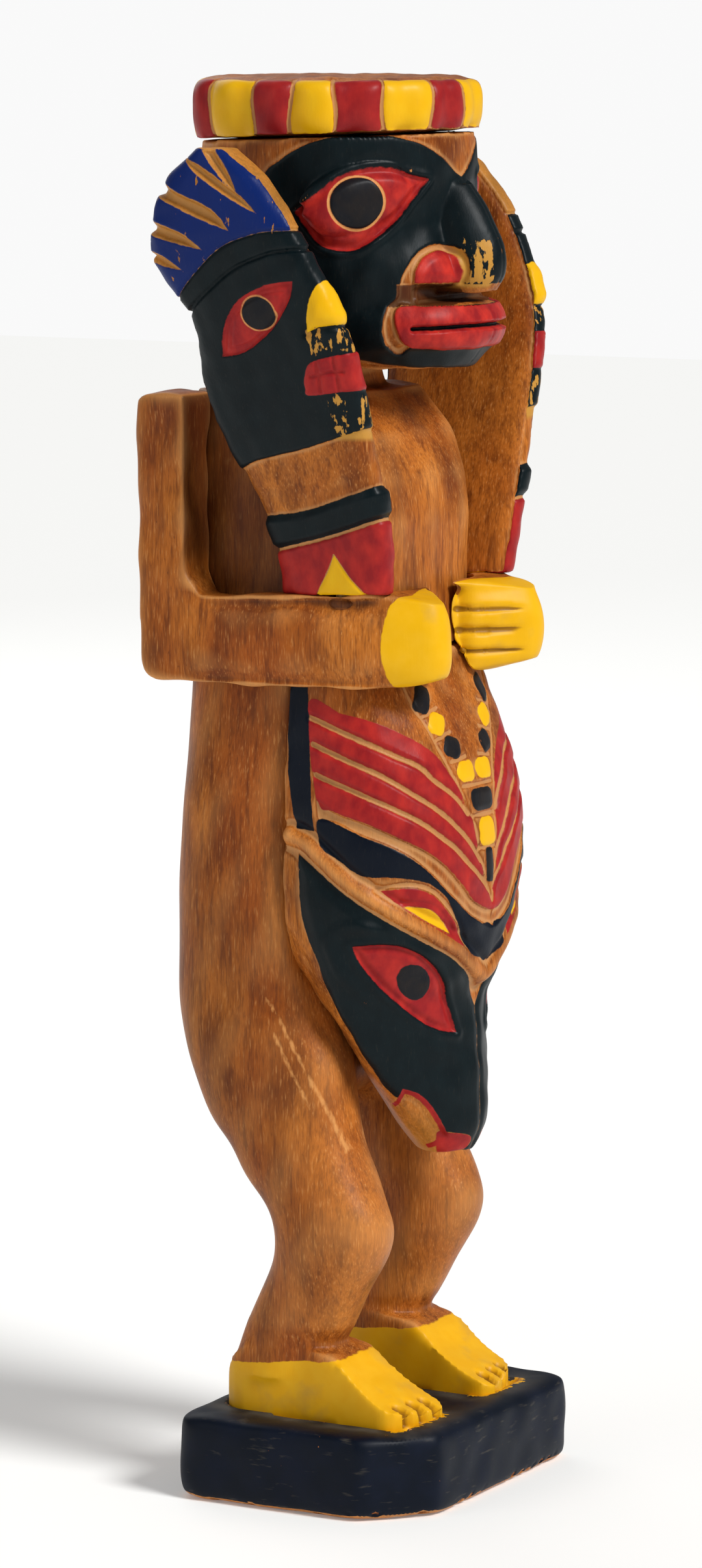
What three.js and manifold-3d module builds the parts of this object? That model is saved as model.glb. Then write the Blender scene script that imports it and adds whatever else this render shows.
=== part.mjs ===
// A carved and painted wooden figure: a standing body on a plinth, with separately carved head, crown,
// arms, face boards and belly panel, all joined by hidden dowels and by two screws up through the plinth.
// Millimetres, +Z up. The origin is the middle of the plinth's underside and the figure faces -Y.
import * as THREE from "three";
import { mergeVertices } from "three/addons/utils/BufferGeometryUtils.js";
import Module from "manifold-3d";

const wasm = await Module();
wasm.setup();

// Clearances
const glueLine = 0.3; // between two glued faces
const dowelClearance = 0.3; // all round a dowel, and past each of its ends

// Plinth
const plinthWidth = 89.8;
const plinthDepth = 69;
const plinthHeight = 19.5;
const plinthFrontCut = 14.5; // bevelled front corner on the figure's right
const plinthSideCut = 6; // the corners beside it
const plinthBackCut = 9; // the corner across from it
const plinthEdge = 1.4; // worn edge

// Heights of the figure above its soles
const toeHeight = 7.5;
const ankleHeight = 18.5;
const kneeHeight = 50;
const seatHeight = 90;
const hipHeight = 121;
const waistHeight = 160;
const forearmUnderside = 186.5;
const shoulderHeight = 257.5;
const neckTop = 263.5;

// Body
const hipHalfWidth = 37;
const bellyHalfWidth = 35;
const chestHalfWidth = 29.5;
const neckHalfWidth = 20;
const hipBack = 46;
const chestBack = 42;
const chestFront = -17;
const legSpacing = 47.6; // between the middles of the knees
const kneeHalfWidth = 12.3;
const ankleHalfWidth = 10;

// Feet
const footLength = 58;
const footHeel = 29.3; // how far the heel lies behind the middle
const footToeWidth = 22;
const footHeelWidth = 19;
const footSpacing = 43; // between the middles of the feet
const toeNotch = 1.6;
const toeCount = 4;

// Belly panel with the beast's head
const panelTop = 194; // above the soles, behind the hands
const panelChin = 67.3; // tip of the snout, above the soles
const panelHalfWidth = 36.8;
const panelFront = -34;
const panelWall = 5; // at its sides, where it laps round the trunk
const panelSeat = 6.5; // how far back its sides reach
const snoutFront = -29.5;

// Arms and hands
const armOutside = 41.5;
const armBack = 44.5;
const armLean = 2; // how much further back the shoulder is than the elbow
const upperArmDepth = 13.5;
const armLap = 6.5; // how far the upper arm laps round the trunk's corner
const forearmHeight = 21.5;
const knuckleOut = 31;
const knuckleRound = 7;
const knuckleFront = -34.3;
const fingertipIn = 5; // each side of the middle
const fingertipFront = -20.5;
const fingerCount = 4;
const fingerGroove = 1.3;
const fingerLength = 26; // of the grooves between the fingers, across the fingertips

// Head
const headHeight = 57; // at the front, from the neck joint to the crown joint
const headRadius = 33.9;
const headMiddle = 11; // how far the head's axis lies behind the middle
const jawHalfWidth = 27;
const noseFront = -35;
const lipFront = -32.6;
const mouthHeight = 4.6;
const mouthDepth = 9;
const mouthWidth = 36.7;
const mouthMiddle = 18.5; // above the neck joint
const eyeHeight = 42; // above the neck joint
const eyeOut = 27.5;
const eyeHalfLength = 15;
const eyeHalfHeight = 8;
const eyeTurn = 0.74; // radians, round the head from straight ahead
const eyeTilt = 0.3; // radians, inner corner up

// Crown
const crownRadius = 36.1;
const crownFrontHeight = 13.2;
const crownSlope = 2.6; // how much deeper the crown is at its back
const crownBlocks = 16;
const crownNotch = 1.5;
const crownBulge = 0.35; // of each block between its notches

// Face boards
const boardThickness = 10;
const boardTop = 318; // above the soles
const boardFootOut = 36; // outer face at the foot
const boardFanOut = 61; // outer face at the fan

// Fasteners
const dowelDiameter = 6;
const dowelLength = 20;
const shortDowelLength = 14; // at the elbows
const crownDowelLength = 16;
const crownDowelOut = 16; // each side of the middle
const shoulderDowelInset = 7.5; // in from the arm's back
const shoulderDowelDrop = 22; // below the shoulder
const boardDowelDiameter = 4;
const boardDowelLength = 12;
const boardPegLength = 14; // from a forearm up into a board's foot
const neckDowelDiameter = 12;
const neckDowelLength = 30;
const neckDowelBehind = 20; // behind the middle
const panelDowelRise = 8; // the upper one, above the waist
const panelDowelDrop = 6; // the lower one, below the hips
const upperPanelDowelIn = 24; // its middle, behind the panel's front
const lowerPanelDowelIn = 29;
const elbowDowelBehind = 14; // behind the middle
const elbowDowelDrop = 12; // below the forearm's top
const handPinOut = 19;
const handPinDrop = 7.5; // below the forearm's top
const boardPegOut = 32.5;
const boardPegFront = -9;
const boardDowelFront = -4;
const pinDiameter = 2.4;
const pinLength = 10;
const screwDiameter = 4;
const screwHeadDiameter = 8;
const screwHeadHeight = 3;
const screwHeadInset = 0.6; // up from the plinth's underside
const screwHeadRim = 0.6; // straight edge of the head below its taper
const screwPoint = 3; // length of the point
const screwBehind = 8; // behind the middle
const screwBite = 11; // how far a screw reaches into a foot

const sole = plinthHeight + glueLine;
const headBase = sole + neckTop + glueLine;
const headTop = headBase + headHeight;
const crownBase = headTop + glueLine;
const sides = { right: -1, left: 1 }; // the figure's own right is at -X

// ---- Solids ----

function solidOf(geometry) {
  const bare = geometry.index ? geometry.toNonIndexed() : geometry.clone();
  bare.deleteAttribute("normal");
  bare.deleteAttribute("uv");
  const merged = mergeVertices(bare, 1e-4);
  const vertProperties = merged.attributes.position.array;
  const triVerts = new Uint32Array(merged.index.array);
  return new wasm.Manifold(new wasm.Mesh({ numProp: 3, vertProperties, triVerts }));
}

function geometryOf(solid) {
  const { vertProperties, triVerts } = solid.getMesh();
  const geometry = new THREE.BufferGeometry();
  geometry.setAttribute("position", new THREE.BufferAttribute(new Float32Array(vertProperties), 3));
  geometry.setIndex(new THREE.BufferAttribute(new Uint32Array(triVerts), 1));
  geometry.computeVertexNormals();
  return geometry;
}

// A closed skin over rings that all have the same number of points, anticlockwise seen from the last ring.
function loft(rings) {
  const count = rings[0].length;
  const points = rings.flat();
  const index = [];
  for (let i = 0; i + 1 < rings.length; i++) {
    for (let j = 0; j < count; j++) {
      const a = i * count + j;
      const b = i * count + ((j + 1) % count);
      index.push(a, b, b + count, a, b + count, a + count);
    }
  }
  const capMiddle = (ring) => ring.reduce((sum, p) => sum.add(p), new THREE.Vector3()).divideScalar(count);
  const first = points.push(capMiddle(rings[0])) - 1;
  const last = points.push(capMiddle(rings.at(-1))) - 1;
  const top = (rings.length - 1) * count;
  for (let j = 0; j < count; j++) {
    const next = (j + 1) % count;
    index.push(first, next, j, last, top + j, top + next);
  }
  const geometry = new THREE.BufferGeometry().setFromPoints(points);
  geometry.setIndex(index);
  return solidOf(geometry);
}

// A smooth run through stations: the first number of each is its height, the others are sizes there.
function track(stations) {
  const heights = stations.map((station) => station[0]);
  const values = stations.flatMap((station) => station.slice(1));
  const run = new THREE.CubicInterpolant(heights, values, stations[0].length - 1);
  return { heights, at: (z) => Array.from(run.evaluate(z)) };
}

// One level outline, rounded between a circle (2) and a square: its middle, half width, front and back.
function outline(z, [middle, halfWidth, front, back, roundness = 2], grow, count) {
  const depth = (back - front) / 2 + grow;
  const width = halfWidth + grow;
  const power = 2 / roundness;
  return Array.from({ length: count }, (_, i) => {
    const angle = (2 * Math.PI * i) / count;
    const c = Math.cos(angle);
    const s = Math.sin(angle);
    const x = middle + width * Math.sign(c) * Math.abs(c) ** power;
    const y = (front + back) / 2 + depth * Math.sign(s) * Math.abs(s) ** power;
    return new THREE.Vector3(x, y, z);
  });
}

function levelLoft(stations, { grow = 0, levels = 18, count = 28 } = {}) {
  const run = track(stations);
  const low = run.heights[0];
  const high = run.heights.at(-1);
  const rings = Array.from({ length: levels }, (_, i) => {
    const z = THREE.MathUtils.lerp(low, high, i / (levels - 1));
    const end = i === 0 ? -grow : i === levels - 1 ? grow : 0;
    return outline(z + end, run.at(z), grow, count);
  });
  return loft(rings);
}

function mirrored(solid) {
  return solid.mirror([1, 0, 0]);
}

function onSide(side, solid) {
  return side > 0 ? mirrored(solid) : solid;
}

// A flat shape pushed through a thickness, standing in one of the three planes.
function plate(points, from, to, plane) {
  const shape = new THREE.Shape(points.map(([a, b]) => new THREE.Vector2(a, b)));
  const depth = to - from;
  const geometry = new THREE.ExtrudeGeometry(shape, { depth, bevelEnabled: false, curveSegments: 6 });
  geometry.translate(0, 0, from);
  if (plane === "side") {
    // drawn in Y and Z, thick along X
    geometry.applyMatrix4(new THREE.Matrix4().set(0, 0, 1, 0, 1, 0, 0, 0, 0, 1, 0, 0, 0, 0, 0, 1));
  }
  return solidOf(geometry);
}

// An arc of points round a corner of an outline
function corner(x, y, radius, startDegrees, endDegrees, steps = 4) {
  return Array.from({ length: steps + 1 }, (_, i) => {
    const angle = THREE.MathUtils.degToRad(THREE.MathUtils.lerp(startDegrees, endDegrees, i / steps));
    return [x + radius * Math.cos(angle), y + radius * Math.sin(angle)];
  });
}

function block(width, depth, height, x, y, z) {
  return solidOf(new THREE.BoxGeometry(width, depth, height).translate(x, y, z));
}

// A round rod with its middle at a place, lying along a direction
function rod(diameter, length, place, direction, grow = 0) {
  const radius = diameter / 2 + grow;
  const geometry = new THREE.CylinderGeometry(radius, radius, length + 2 * grow, 20);
  const turn = new THREE.Quaternion().setFromUnitVectors(new THREE.Vector3(0, 1, 0), direction);
  geometry.applyQuaternion(turn).translate(place.x, place.y, place.z);
  return solidOf(geometry);
}

// ---- Body: trunk, legs and feet from one block ----

function trunk(grow = 0) {
  const hips = sole + hipHeight;
  const shoulders = sole + shoulderHeight;
  const core = levelLoft([
    [sole + seatHeight - 12, 0, 24, 6, 33, 2.4],
    [sole + seatHeight, 0, 33, -2, 40.5, 2.6],
    [hips - 8, 0, hipHalfWidth, -4, hipBack, 2.8],
    [hips + 14, 0, hipHalfWidth, -6, hipBack, 2.9],
    [sole + waistHeight, 0, bellyHalfWidth, -10, hipBack - 1, 3],
    [sole + forearmUnderside, 0, bellyHalfWidth - 3, chestFront - 1, chestBack + 1.5, 3.4],
    [sole + forearmUnderside + forearmHeight, 0, chestHalfWidth, chestFront + 0.5, chestBack, 4],
    [shoulders - 26, 0, chestHalfWidth, chestFront + 0.5, chestBack, 4.5],
    [shoulders - 14, 0, chestHalfWidth, chestFront + 4, chestBack, 4.5],
    [shoulders - 5, 0, chestHalfWidth - 0.5, chestFront + 9.5, chestBack, 4.5],
    [shoulders, 0, chestHalfWidth - 1.5, chestFront + 14, chestBack - 1, 4],
  ], { grow, levels: 18, count: 24 });
  const neck = levelLoft([
    [shoulders - 4, 0, neckHalfWidth, chestFront + 17, chestBack - 4, 2.2],
    [sole + neckTop, 0, neckHalfWidth, chestFront + 19, chestBack - 4, 2.2],
  ], { grow, levels: 2, count: 24 });
  return core.add(neck);
}

function leg(grow = 0) {
  const knee = sole + kneeHeight;
  const ankle = sole + ankleHeight;
  const out = -legSpacing / 2;
  return levelLoft([
    [ankle - 8, out + 1.5, ankleHalfWidth, 0.5, 28, 2.2],
    [ankle, out + 1.5, ankleHalfWidth, -2, 25, 2.2],
    [ankle + 8, out + 1, ankleHalfWidth + 0.5, -7.4, 21.6, 2.2],
    [ankle + 18, out + 0.5, ankleHalfWidth + 1.2, -13, 17.8, 2.2],
    [knee - 5, out - 0.3, kneeHalfWidth - 0.3, -18, 13.6, 2.3],
    [knee + 1.5, out - 0.5, kneeHalfWidth, -18.6, 14.6, 2.3],
    [knee + 9, out, kneeHalfWidth + 0.9, -14.2, 20.4, 2.3],
    [knee + 17, out, kneeHalfWidth + 1.3, -10.8, 26.3, 2.3],
    [knee + 28, out + 0.4, kneeHalfWidth + 2.2, -6.4, 34.4, 2.3],
    [knee + 42, out + 1.4, kneeHalfWidth + 3.2, -5, 40.4, 2.4],
    [knee + 56, out + 2.4, kneeHalfWidth + 3.6, 1, 43.4, 2.4],
    [knee + 72, out + 5.4, kneeHalfWidth + 1.4, 10, 42, 2.4],
  ], { grow, levels: 15, count: 18 });
}

function foot(grow = 0) {
  const toe = footHeel - footLength;
  const ankleFront = -4;
  const profile = plate([
    [toe - grow, sole - grow],
    [footHeel - 2, sole - grow],
    ...corner(footHeel - 4.5, sole + 6, 5 + grow, -40, 40, 3),
    [footHeel - 4, sole + ankleHeight - 4],
    [18, sole + ankleHeight + 2],
    [ankleFront, sole + ankleHeight + grow],
    [toe + 3, sole + toeHeight + grow],
    [toe - grow, sole + toeHeight - 2],
  ], -footToeWidth, footToeWidth, "side");
  const half = footToeWidth / 2 + grow;
  const heelHalf = footHeelWidth / 2 + grow;
  const plan = plate([
    ...corner(half - 4, toe + 4, 4 + grow, 270, 360, 3),
    [half - 0.5, toe + 18],
    [heelHalf, footHeel - 14],
    ...corner(0, footHeel - heelHalf, heelHalf, 10, 170, 8),
    [-heelHalf, footHeel - 14],
    [-half + 0.5, toe + 20],
    ...corner(-half + 5, toe + 7, 5 + grow, 180, 250, 3),
  ], sole - 5, sole + 60, "level");
  let solid = profile.intersect(plan);
  if (grow === 0) {
    const pitch = footToeWidth / toeCount;
    for (let i = 1; i < toeCount; i++) {
      const notch = new THREE.CylinderGeometry(toeNotch, toeNotch, 12, 4);
      notch.rotateX(0.5).translate(-footToeWidth / 2 + i * pitch, toe + 1.5, sole + toeHeight - 1);
      solid = solid.subtract(solidOf(notch));
    }
  }
  return solid.translate([-footSpacing / 2, 0, 0]);
}

function legsAndFeet(grow = 0) {
  const one = leg(grow).add(foot(grow));
  return one.add(mirrored(one));
}

// The wood left behind the belly panel: the trunk with its front and sides cut back
function panelCore(grow = 0) {
  return levelLoft([
    [sole + seatHeight - 14, 0, 20, 6, 34, 2.4],
    [sole + hipHeight - 10, 0, hipHalfWidth - panelWall, -2, 38, 2.6],
    [sole + waistHeight, 0, bellyHalfWidth - panelWall, -8, 38, 2.8],
    [sole + panelTop + 8, 0, bellyHalfWidth - panelWall - 3, chestFront + 5, 38, 2.8],
  ], { grow, levels: 5, count: 24 });
}

// ---- Belly panel: feathered belly above, beast's head below ----

function panelSkin(grow = 0) {
  const top = sole + panelTop;
  const tip = sole + panelChin;
  const whole = levelLoft([
    [tip, 0, 8, snoutFront + 2.5, -13, 2],
    [tip + 5, 0, 12.5, snoutFront, -9, 1.8],
    [tip + 14, 0, 19, snoutFront - 0.5, -3, 1.5],
    [tip + 24, 0, 25, snoutFront, 4, 1.4],
    [tip + 34, 0, 30, snoutFront + 1, 10, 1.4],
    [tip + 42, 0, 33.4, snoutFront + 0.7, 16, 1.5],
    [tip + 49, 0, 35.4, panelFront + 1.2, 22, 1.6],
    [tip + 56, 0, 36.4, panelFront + 0.4, 26, 1.9],
    [tip + 64, 0, panelHalfWidth, panelFront, 28, 2.3],
    [tip + 80, 0, panelHalfWidth, panelFront, 29, 2.6],
    [top - 30, 0, panelHalfWidth - 1, panelFront + 2.5, 28, 2.6],
    [top - 18, 0, panelHalfWidth - 2.6, panelFront + 7.5, 27, 2.7],
    [top - 8, 0, panelHalfWidth - 3.6, panelFront + 12.5, 26, 2.8],
    [top, 0, panelHalfWidth - 4.6, panelFront + 15, 25, 2.8],
  ], { grow, levels: 20, count: 32 });
  const reach = 3 * panelHalfWidth;
  const behind = block(reach, reach, 2 * panelTop, 0, panelSeat + grow + reach / 2, sole + panelTop);
  return whole.subtract(behind);
}

function figureBody(grow = 0) {
  const seat = panelSkin(glueLine - grow).subtract(panelCore(grow));
  return trunk(grow).subtract(seat).add(legsAndFeet(grow));
}

function bellyPanel() {
  return panelSkin().subtract(panelCore(glueLine)).subtract(legsAndFeet(glueLine));
}

// ---- Arms: an upper arm down the back edge and a forearm that wraps the belly, with the hand ----

function arm(grow = 0) {
  const low = sole + forearmUnderside;
  const high = low + forearmHeight;
  const shoulder = sole + shoulderHeight;
  const front = knuckleFront - grow;
  const armFront = armBack - upperArmDepth;
  const profile = plate([
    ...corner(armBack - 5, low + 5, 5 + grow, -90, 0),
    ...corner(armBack + armLean - 4, shoulder - 4, 4 + grow, 0, 90),
    [armFront + armLean - 2 - grow, shoulder + grow],
    [armFront - grow, high + 5 + grow],
    [armFront - 4, high + grow],
    [-18, high + 2 + grow],
    [front, high + 1 + grow],
    [front, low + 1 - grow],
    [-20, low - grow],
  ], -armOutside - 5, 0, "side");
  const plan = plate([
    ...corner(-armOutside + 4, armBack + armLean - 4, 4 + grow, 180, 90),
    [-chestHalfWidth + armLap, armBack + armLean + grow],
    [-chestHalfWidth + armLap, chestFront + 14],
    [-fingertipIn + grow, chestFront + 2],
    [-fingertipIn + grow, fingertipFront - grow],
    ...corner(-knuckleOut + knuckleRound, knuckleFront + knuckleRound, knuckleRound + grow, 285, 190),
    [-armOutside + 6 - grow, -18],
    [-armOutside + 1.5 - grow, 5],
    [-armOutside - grow, 20],
  ].reverse(), low - 5, shoulder + 5, "level");
  let solid = profile.intersect(plan);
  if (grow === 0) {
    const pitch = forearmHeight / fingerCount;
    const reach = knuckleOut - fingertipIn;
    const slope = Math.atan2(fingertipFront - knuckleFront, reach);
    const fingerMiddle = 0.36 * reach;
    const fingerSurface = THREE.MathUtils.lerp(fingertipFront, knuckleFront, 0.36) - 0.4 * fingerGroove;
    for (let i = 1; i < fingerCount; i++) {
      const groove = new THREE.BoxGeometry(fingerLength, 2 * fingerGroove, fingerGroove).rotateZ(slope);
      groove.translate(-fingertipIn - fingerMiddle, fingerSurface, low + i * pitch);
      solid = solid.subtract(solidOf(groove));
    }
  }
  return solid;
}

// ---- Face boards ----

function faceBoard(grow = 0) {
  const foot = sole + forearmUnderside + forearmHeight - 2;
  const top = sole + boardTop;
  const run = track([
    [foot, boardFootOut, -20.8, 7.4],
    [foot + 14, boardFootOut + 2.2, -22.4, 8.4],
    [foot + 26, boardFootOut + 5.4, -22.8, 12],
    [foot + 44, boardFootOut + 11.8, -22.2, 19],
    [foot + 58, boardFootOut + 16.4, -21.4, 21.2],
    [foot + 71, boardFootOut + 20.8, -19.4, 21],
    [foot + 77, boardFanOut - 2.6, -17.2, 24.5],
    [foot + 82, boardFanOut - 1.6, -15, 30],
    [foot + 91, boardFanOut, -10.6, 30.5],
    [top - 8, boardFanOut, -1.2, 26.5],
    [top - 3, boardFanOut - 0.6, 4.2, 22.5],
    [top, boardFanOut - 1.6, 10, 17.5],
  ]);
  const levels = 18;
  const rings = Array.from({ length: levels }, (_, i) => {
    const z = THREE.MathUtils.lerp(foot, top, i / (levels - 1));
    const [out, front, back] = run.at(z);
    const half = boardThickness / 2;
    return outline(z, [-out + half, half, front, back, 3], grow, 20);
  });
  return loft(rings);
}

// ---- Head ----

// The joint between head and crown, which falls towards the back
function jointSlope(height) {
  const reach = 2 * crownRadius;
  return [
    [headMiddle - reach, height + crownSlope / 2],
    [headMiddle + reach, height - 1.5 * crownSlope],
  ];
}

function headTopCut() {
  const reach = 2 * crownRadius;
  return plate([
    ...jointSlope(headTop),
    [headMiddle + reach, headTop + headHeight],
    [headMiddle - reach, headTop + headHeight],
  ], -reach, reach, "side");
}

function headBlock() {
  const front = headMiddle - headRadius;
  const back = headMiddle + headRadius;
  const skull = levelLoft([
    [headBase, 0, jawHalfWidth - 5, front - 2, back - 12, 2.1],
    [headBase + 4, 0, jawHalfWidth, front - 6, back - 5, 2],
    [headBase + 14, 0, jawHalfWidth + 1.6, front - 6.5, back - 1, 2],
    [headBase + 24, 0, headRadius - 2.6, front - 4, back, 2],
    [headBase + 36, 0, headRadius - 0.8, front + 0.5, back, 2],
    [headBase + 46, 0, headRadius, front - 0.6, back, 2],
    [headTop + 4, 0, headRadius, front, back, 2],
  ], { levels: 13, count: 32 });
  const nose = levelLoft([
    [headBase + 19, 0, 6.5, noseFront + 2, -10, 2.2],
    [headBase + 22, 0, 8, noseFront, -10, 2.2],
    [headBase + 31, 0, 7.6, noseFront + 0.5, -10, 2],
    [headBase + 38, 0, 6.6, noseFront + 4, -10, 2],
    [headBase + 45, 0, 5.4, noseFront + 9, -10, 2],
  ], { levels: 8, count: 20 });
  const lips = levelLoft([
    [headBase + 5.5, 0, jawHalfWidth - 2, lipFront + 1.6, 20, 2],
    [headBase + 8, 0, jawHalfWidth - 0.6, lipFront, 21, 2],
    [headBase + 13, 0, jawHalfWidth - 0.6, lipFront, 21, 2],
    [headBase + 15.5, 0, jawHalfWidth - 2, lipFront + 1.6, 20, 2],
  ], { levels: 5, count: 32 });
  const mouth = block(mouthWidth, 2 * mouthDepth, mouthHeight, 0, lipFront + 4, headBase + mouthMiddle);
  let solid = skull.add(lips).subtract(mouth).add(nose).subtract(headTopCut());
  for (const side of Object.values(sides)) {
    const ellipsoid = (length, depth, height, inward) => solidOf(new THREE.SphereGeometry(1, 16, 10)
      .scale(length, depth, height).rotateY(side * eyeTilt).rotateZ(side * eyeTurn)
      .translate(side * (eyeOut - 0.66 * inward), headMiddle - 21.5 + 0.75 * inward, headBase + eyeHeight));
    const socket = ellipsoid(eyeHalfLength + 2.5, 5, eyeHalfHeight + 2.5, -1.5);
    const eye = ellipsoid(eyeHalfLength, 4, eyeHalfHeight, 2.5);
    solid = solid.subtract(socket).add(eye);
  }
  return solid;
}

// ---- Crown: a slice of a ring of rounded blocks ----

function crownRing() {
  const high = crownBase + crownFrontHeight;
  const steps = 5; // points over each block
  const count = crownBlocks * steps;
  const ringAt = (z, shrink) => Array.from({ length: count }, (_, i) => {
    const angle = ((i + 0.5 * steps) / count) * 2 * Math.PI;
    const bulge = crownBulge * Math.sin((Math.PI * (i % steps)) / steps);
    const notch = i % steps === 0 ? crownNotch : -bulge;
    const radius = crownRadius - shrink - notch;
    return new THREE.Vector3(radius * Math.cos(angle), headMiddle + radius * Math.sin(angle), z);
  });
  const low = crownBase - 3 * crownSlope;
  const disc = loft([ringAt(low, 1.6), ringAt(crownBase + 2, 0.3), ringAt(high - 3, 0), ringAt(high, 1.4)]);
  const across = 2 * crownRadius;
  const [frontPoint, backPoint] = jointSlope(crownBase);
  const under = plate([
    frontPoint,
    [headMiddle - across, crownBase - headHeight],
    [headMiddle + across, crownBase - headHeight],
    backPoint,
  ], -across, across, "side");
  return disc.subtract(under);
}

// ---- Fasteners: each is a place, a direction, a size and the pieces that it goes into ----

const alongX = new THREE.Vector3(1, 0, 0);
const alongY = new THREE.Vector3(0, 1, 0);
const upward = new THREE.Vector3(0, 0, 1);

function dowelRows() {
  const rows = [];
  const dowel = (name, place, direction, into, diameter = dowelDiameter, length = dowelLength) =>
    rows.push({ name, place: new THREE.Vector3(...place), direction, into, diameter, length });
  const forearmTop = sole + forearmUnderside + forearmHeight;
  const shoulderDowelUp = sole + shoulderHeight - shoulderDowelDrop;
  dowel("neck_dowel", [0, neckDowelBehind, headBase], upward, ["body", "head"],
    neckDowelDiameter, neckDowelLength);
  const panelPair = ["body", "belly_panel"];
  const upperPlace = [0, panelFront + upperPanelDowelIn, sole + waistHeight + panelDowelRise];
  const lowerPlace = [0, panelFront + lowerPanelDowelIn, sole + hipHeight - panelDowelDrop];
  dowel("panel_dowel_upper", upperPlace, alongY, panelPair);
  dowel("panel_dowel_lower", lowerPlace, alongY, panelPair);
  for (const [name, side] of Object.entries(sides)) {
    dowel(name + "_crown_dowel", [side * crownDowelOut, headMiddle, crownBase], upward,
      ["head", "crown"], dowelDiameter, crownDowelLength);
    const armPair = ["body", name + "_arm"];
    const shoulderPlace = [side * chestHalfWidth, armBack - shoulderDowelInset, shoulderDowelUp];
    const elbowPlace = [side * (bellyHalfWidth - 3), elbowDowelBehind, forearmTop - elbowDowelDrop];
    dowel(name + "_shoulder_dowel", shoulderPlace, alongX, armPair);
    dowel(name + "_elbow_dowel", elbowPlace, alongX, armPair, dowelDiameter, shortDowelLength);
    dowel(name + "_hand_pin", [side * handPinOut, chestFront, forearmTop - handPinDrop], alongY,
      armPair, pinDiameter, pinLength);
    const pegMiddle = forearmTop + 1;
    dowel(name + "_board_peg", [side * boardPegOut, boardPegFront, pegMiddle], upward,
      [name + "_arm", name + "_face_board"], boardDowelDiameter, boardPegLength);
    dowel(name + "_board_dowel",
      [side * chestHalfWidth, boardDowelFront, pegMiddle + boardPegLength / 2 + boardDowelDiameter], alongX,
      ["body", name + "_face_board"], boardDowelDiameter, boardDowelLength);
  }
  return rows;
}

function screw(side, grow = 0, low = screwHeadInset) {
  const head = screwHeadDiameter / 2 + grow;
  const shank = screwDiameter / 2 + grow;
  const tip = sole + screwBite;
  const profile = [
    [0, low],
    [head, low],
    [head, screwHeadInset + screwHeadRim],
    [shank, screwHeadInset + screwHeadHeight],
    [shank, tip - screwPoint],
    [0, tip + grow],
  ].map(([r, z]) => new THREE.Vector2(r, z));
  const geometry = new THREE.LatheGeometry(profile, 20).rotateX(Math.PI / 2);
  return solidOf(geometry.translate((side * footSpacing) / 2, screwBehind, 0));
}

// ---- Assembly ----

function plinthBlock() {
  const x = plinthWidth / 2 - plinthEdge;
  const y = plinthDepth / 2 - plinthEdge;
  const shape = new THREE.Shape();
  shape.moveTo(-x + plinthFrontCut, -y);
  shape.lineTo(x - plinthSideCut, -y);
  shape.quadraticCurveTo(x, -y, x, -y + plinthSideCut);
  shape.lineTo(x, y - plinthBackCut);
  shape.quadraticCurveTo(x, y, x - plinthBackCut, y);
  shape.lineTo(-x + plinthSideCut, y);
  shape.quadraticCurveTo(-x, y, -x, y - plinthSideCut);
  shape.lineTo(-x, -y + plinthFrontCut);
  shape.closePath();
  const geometry = new THREE.ExtrudeGeometry(shape, {
    depth: plinthHeight - 2 * plinthEdge,
    bevelThickness: plinthEdge,
    bevelSize: plinthEdge,
    bevelSegments: 2,
    curveSegments: 5,
  });
  return solidOf(geometry.translate(0, 0, plinthEdge));
}

const paint = {
  wood: { color: 0xa5642c, roughness: 0.45, metalness: 0 },
  ochre: { color: 0xc8961e, roughness: 0.5, metalness: 0 },
  black: { color: 0x1b2430, roughness: 0.5, metalness: 0 },
  green: { color: 0x1d2b28, roughness: 0.5, metalness: 0 },
  red: { color: 0xa52c28, roughness: 0.5, metalness: 0 },
  steel: { color: 0x8d8f92, roughness: 0.35, metalness: 1 },
};

const solids = new Map();
const finish = new Map();
function piece(name, solid, look) {
  solids.set(name, solid);
  finish.set(name, look);
}

const grownTrunk = trunk(glueLine);
const grownPanel = panelSkin(glueLine);
piece("plinth", plinthBlock(), paint.black);
piece("body", figureBody(), paint.wood);
piece("belly_panel", bellyPanel(), paint.red);
piece("head", headBlock(), paint.green);
piece("crown", crownRing(), paint.ochre);
for (const [name, side] of Object.entries(sides)) {
  const ownArm = onSide(side, arm()).subtract(grownTrunk).subtract(grownPanel);
  const ownBoard = onSide(side, faceBoard()).subtract(grownTrunk).subtract(onSide(side, arm(glueLine)));
  piece(name + "_arm", ownArm, paint.wood);
  piece(name + "_face_board", ownBoard, paint.green);
}
for (const row of dowelRows()) {
  const hole = rod(row.diameter, row.length, row.place, row.direction, dowelClearance);
  for (const name of row.into) solids.set(name, solids.get(name).subtract(hole));
  piece(row.name, rod(row.diameter, row.length, row.place, row.direction), paint.wood);
}
for (const [name, side] of Object.entries(sides)) {
  const hole = screw(side, dowelClearance, -dowelClearance);
  for (const into of ["plinth", "body"]) solids.set(into, solids.get(into).subtract(hole));
  piece(name + "_foot_screw", screw(side), paint.steel);
}

const figure = new THREE.Group();
for (const [name, solid] of solids) {
  const mesh = new THREE.Mesh(geometryOf(solid), new THREE.MeshStandardMaterial(finish.get(name)));
  mesh.name = name;
  figure.add(mesh);
}

export default figure;
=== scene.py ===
import math
import bmesh
import bpy
import numpy as np
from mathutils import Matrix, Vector, kdtree


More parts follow.
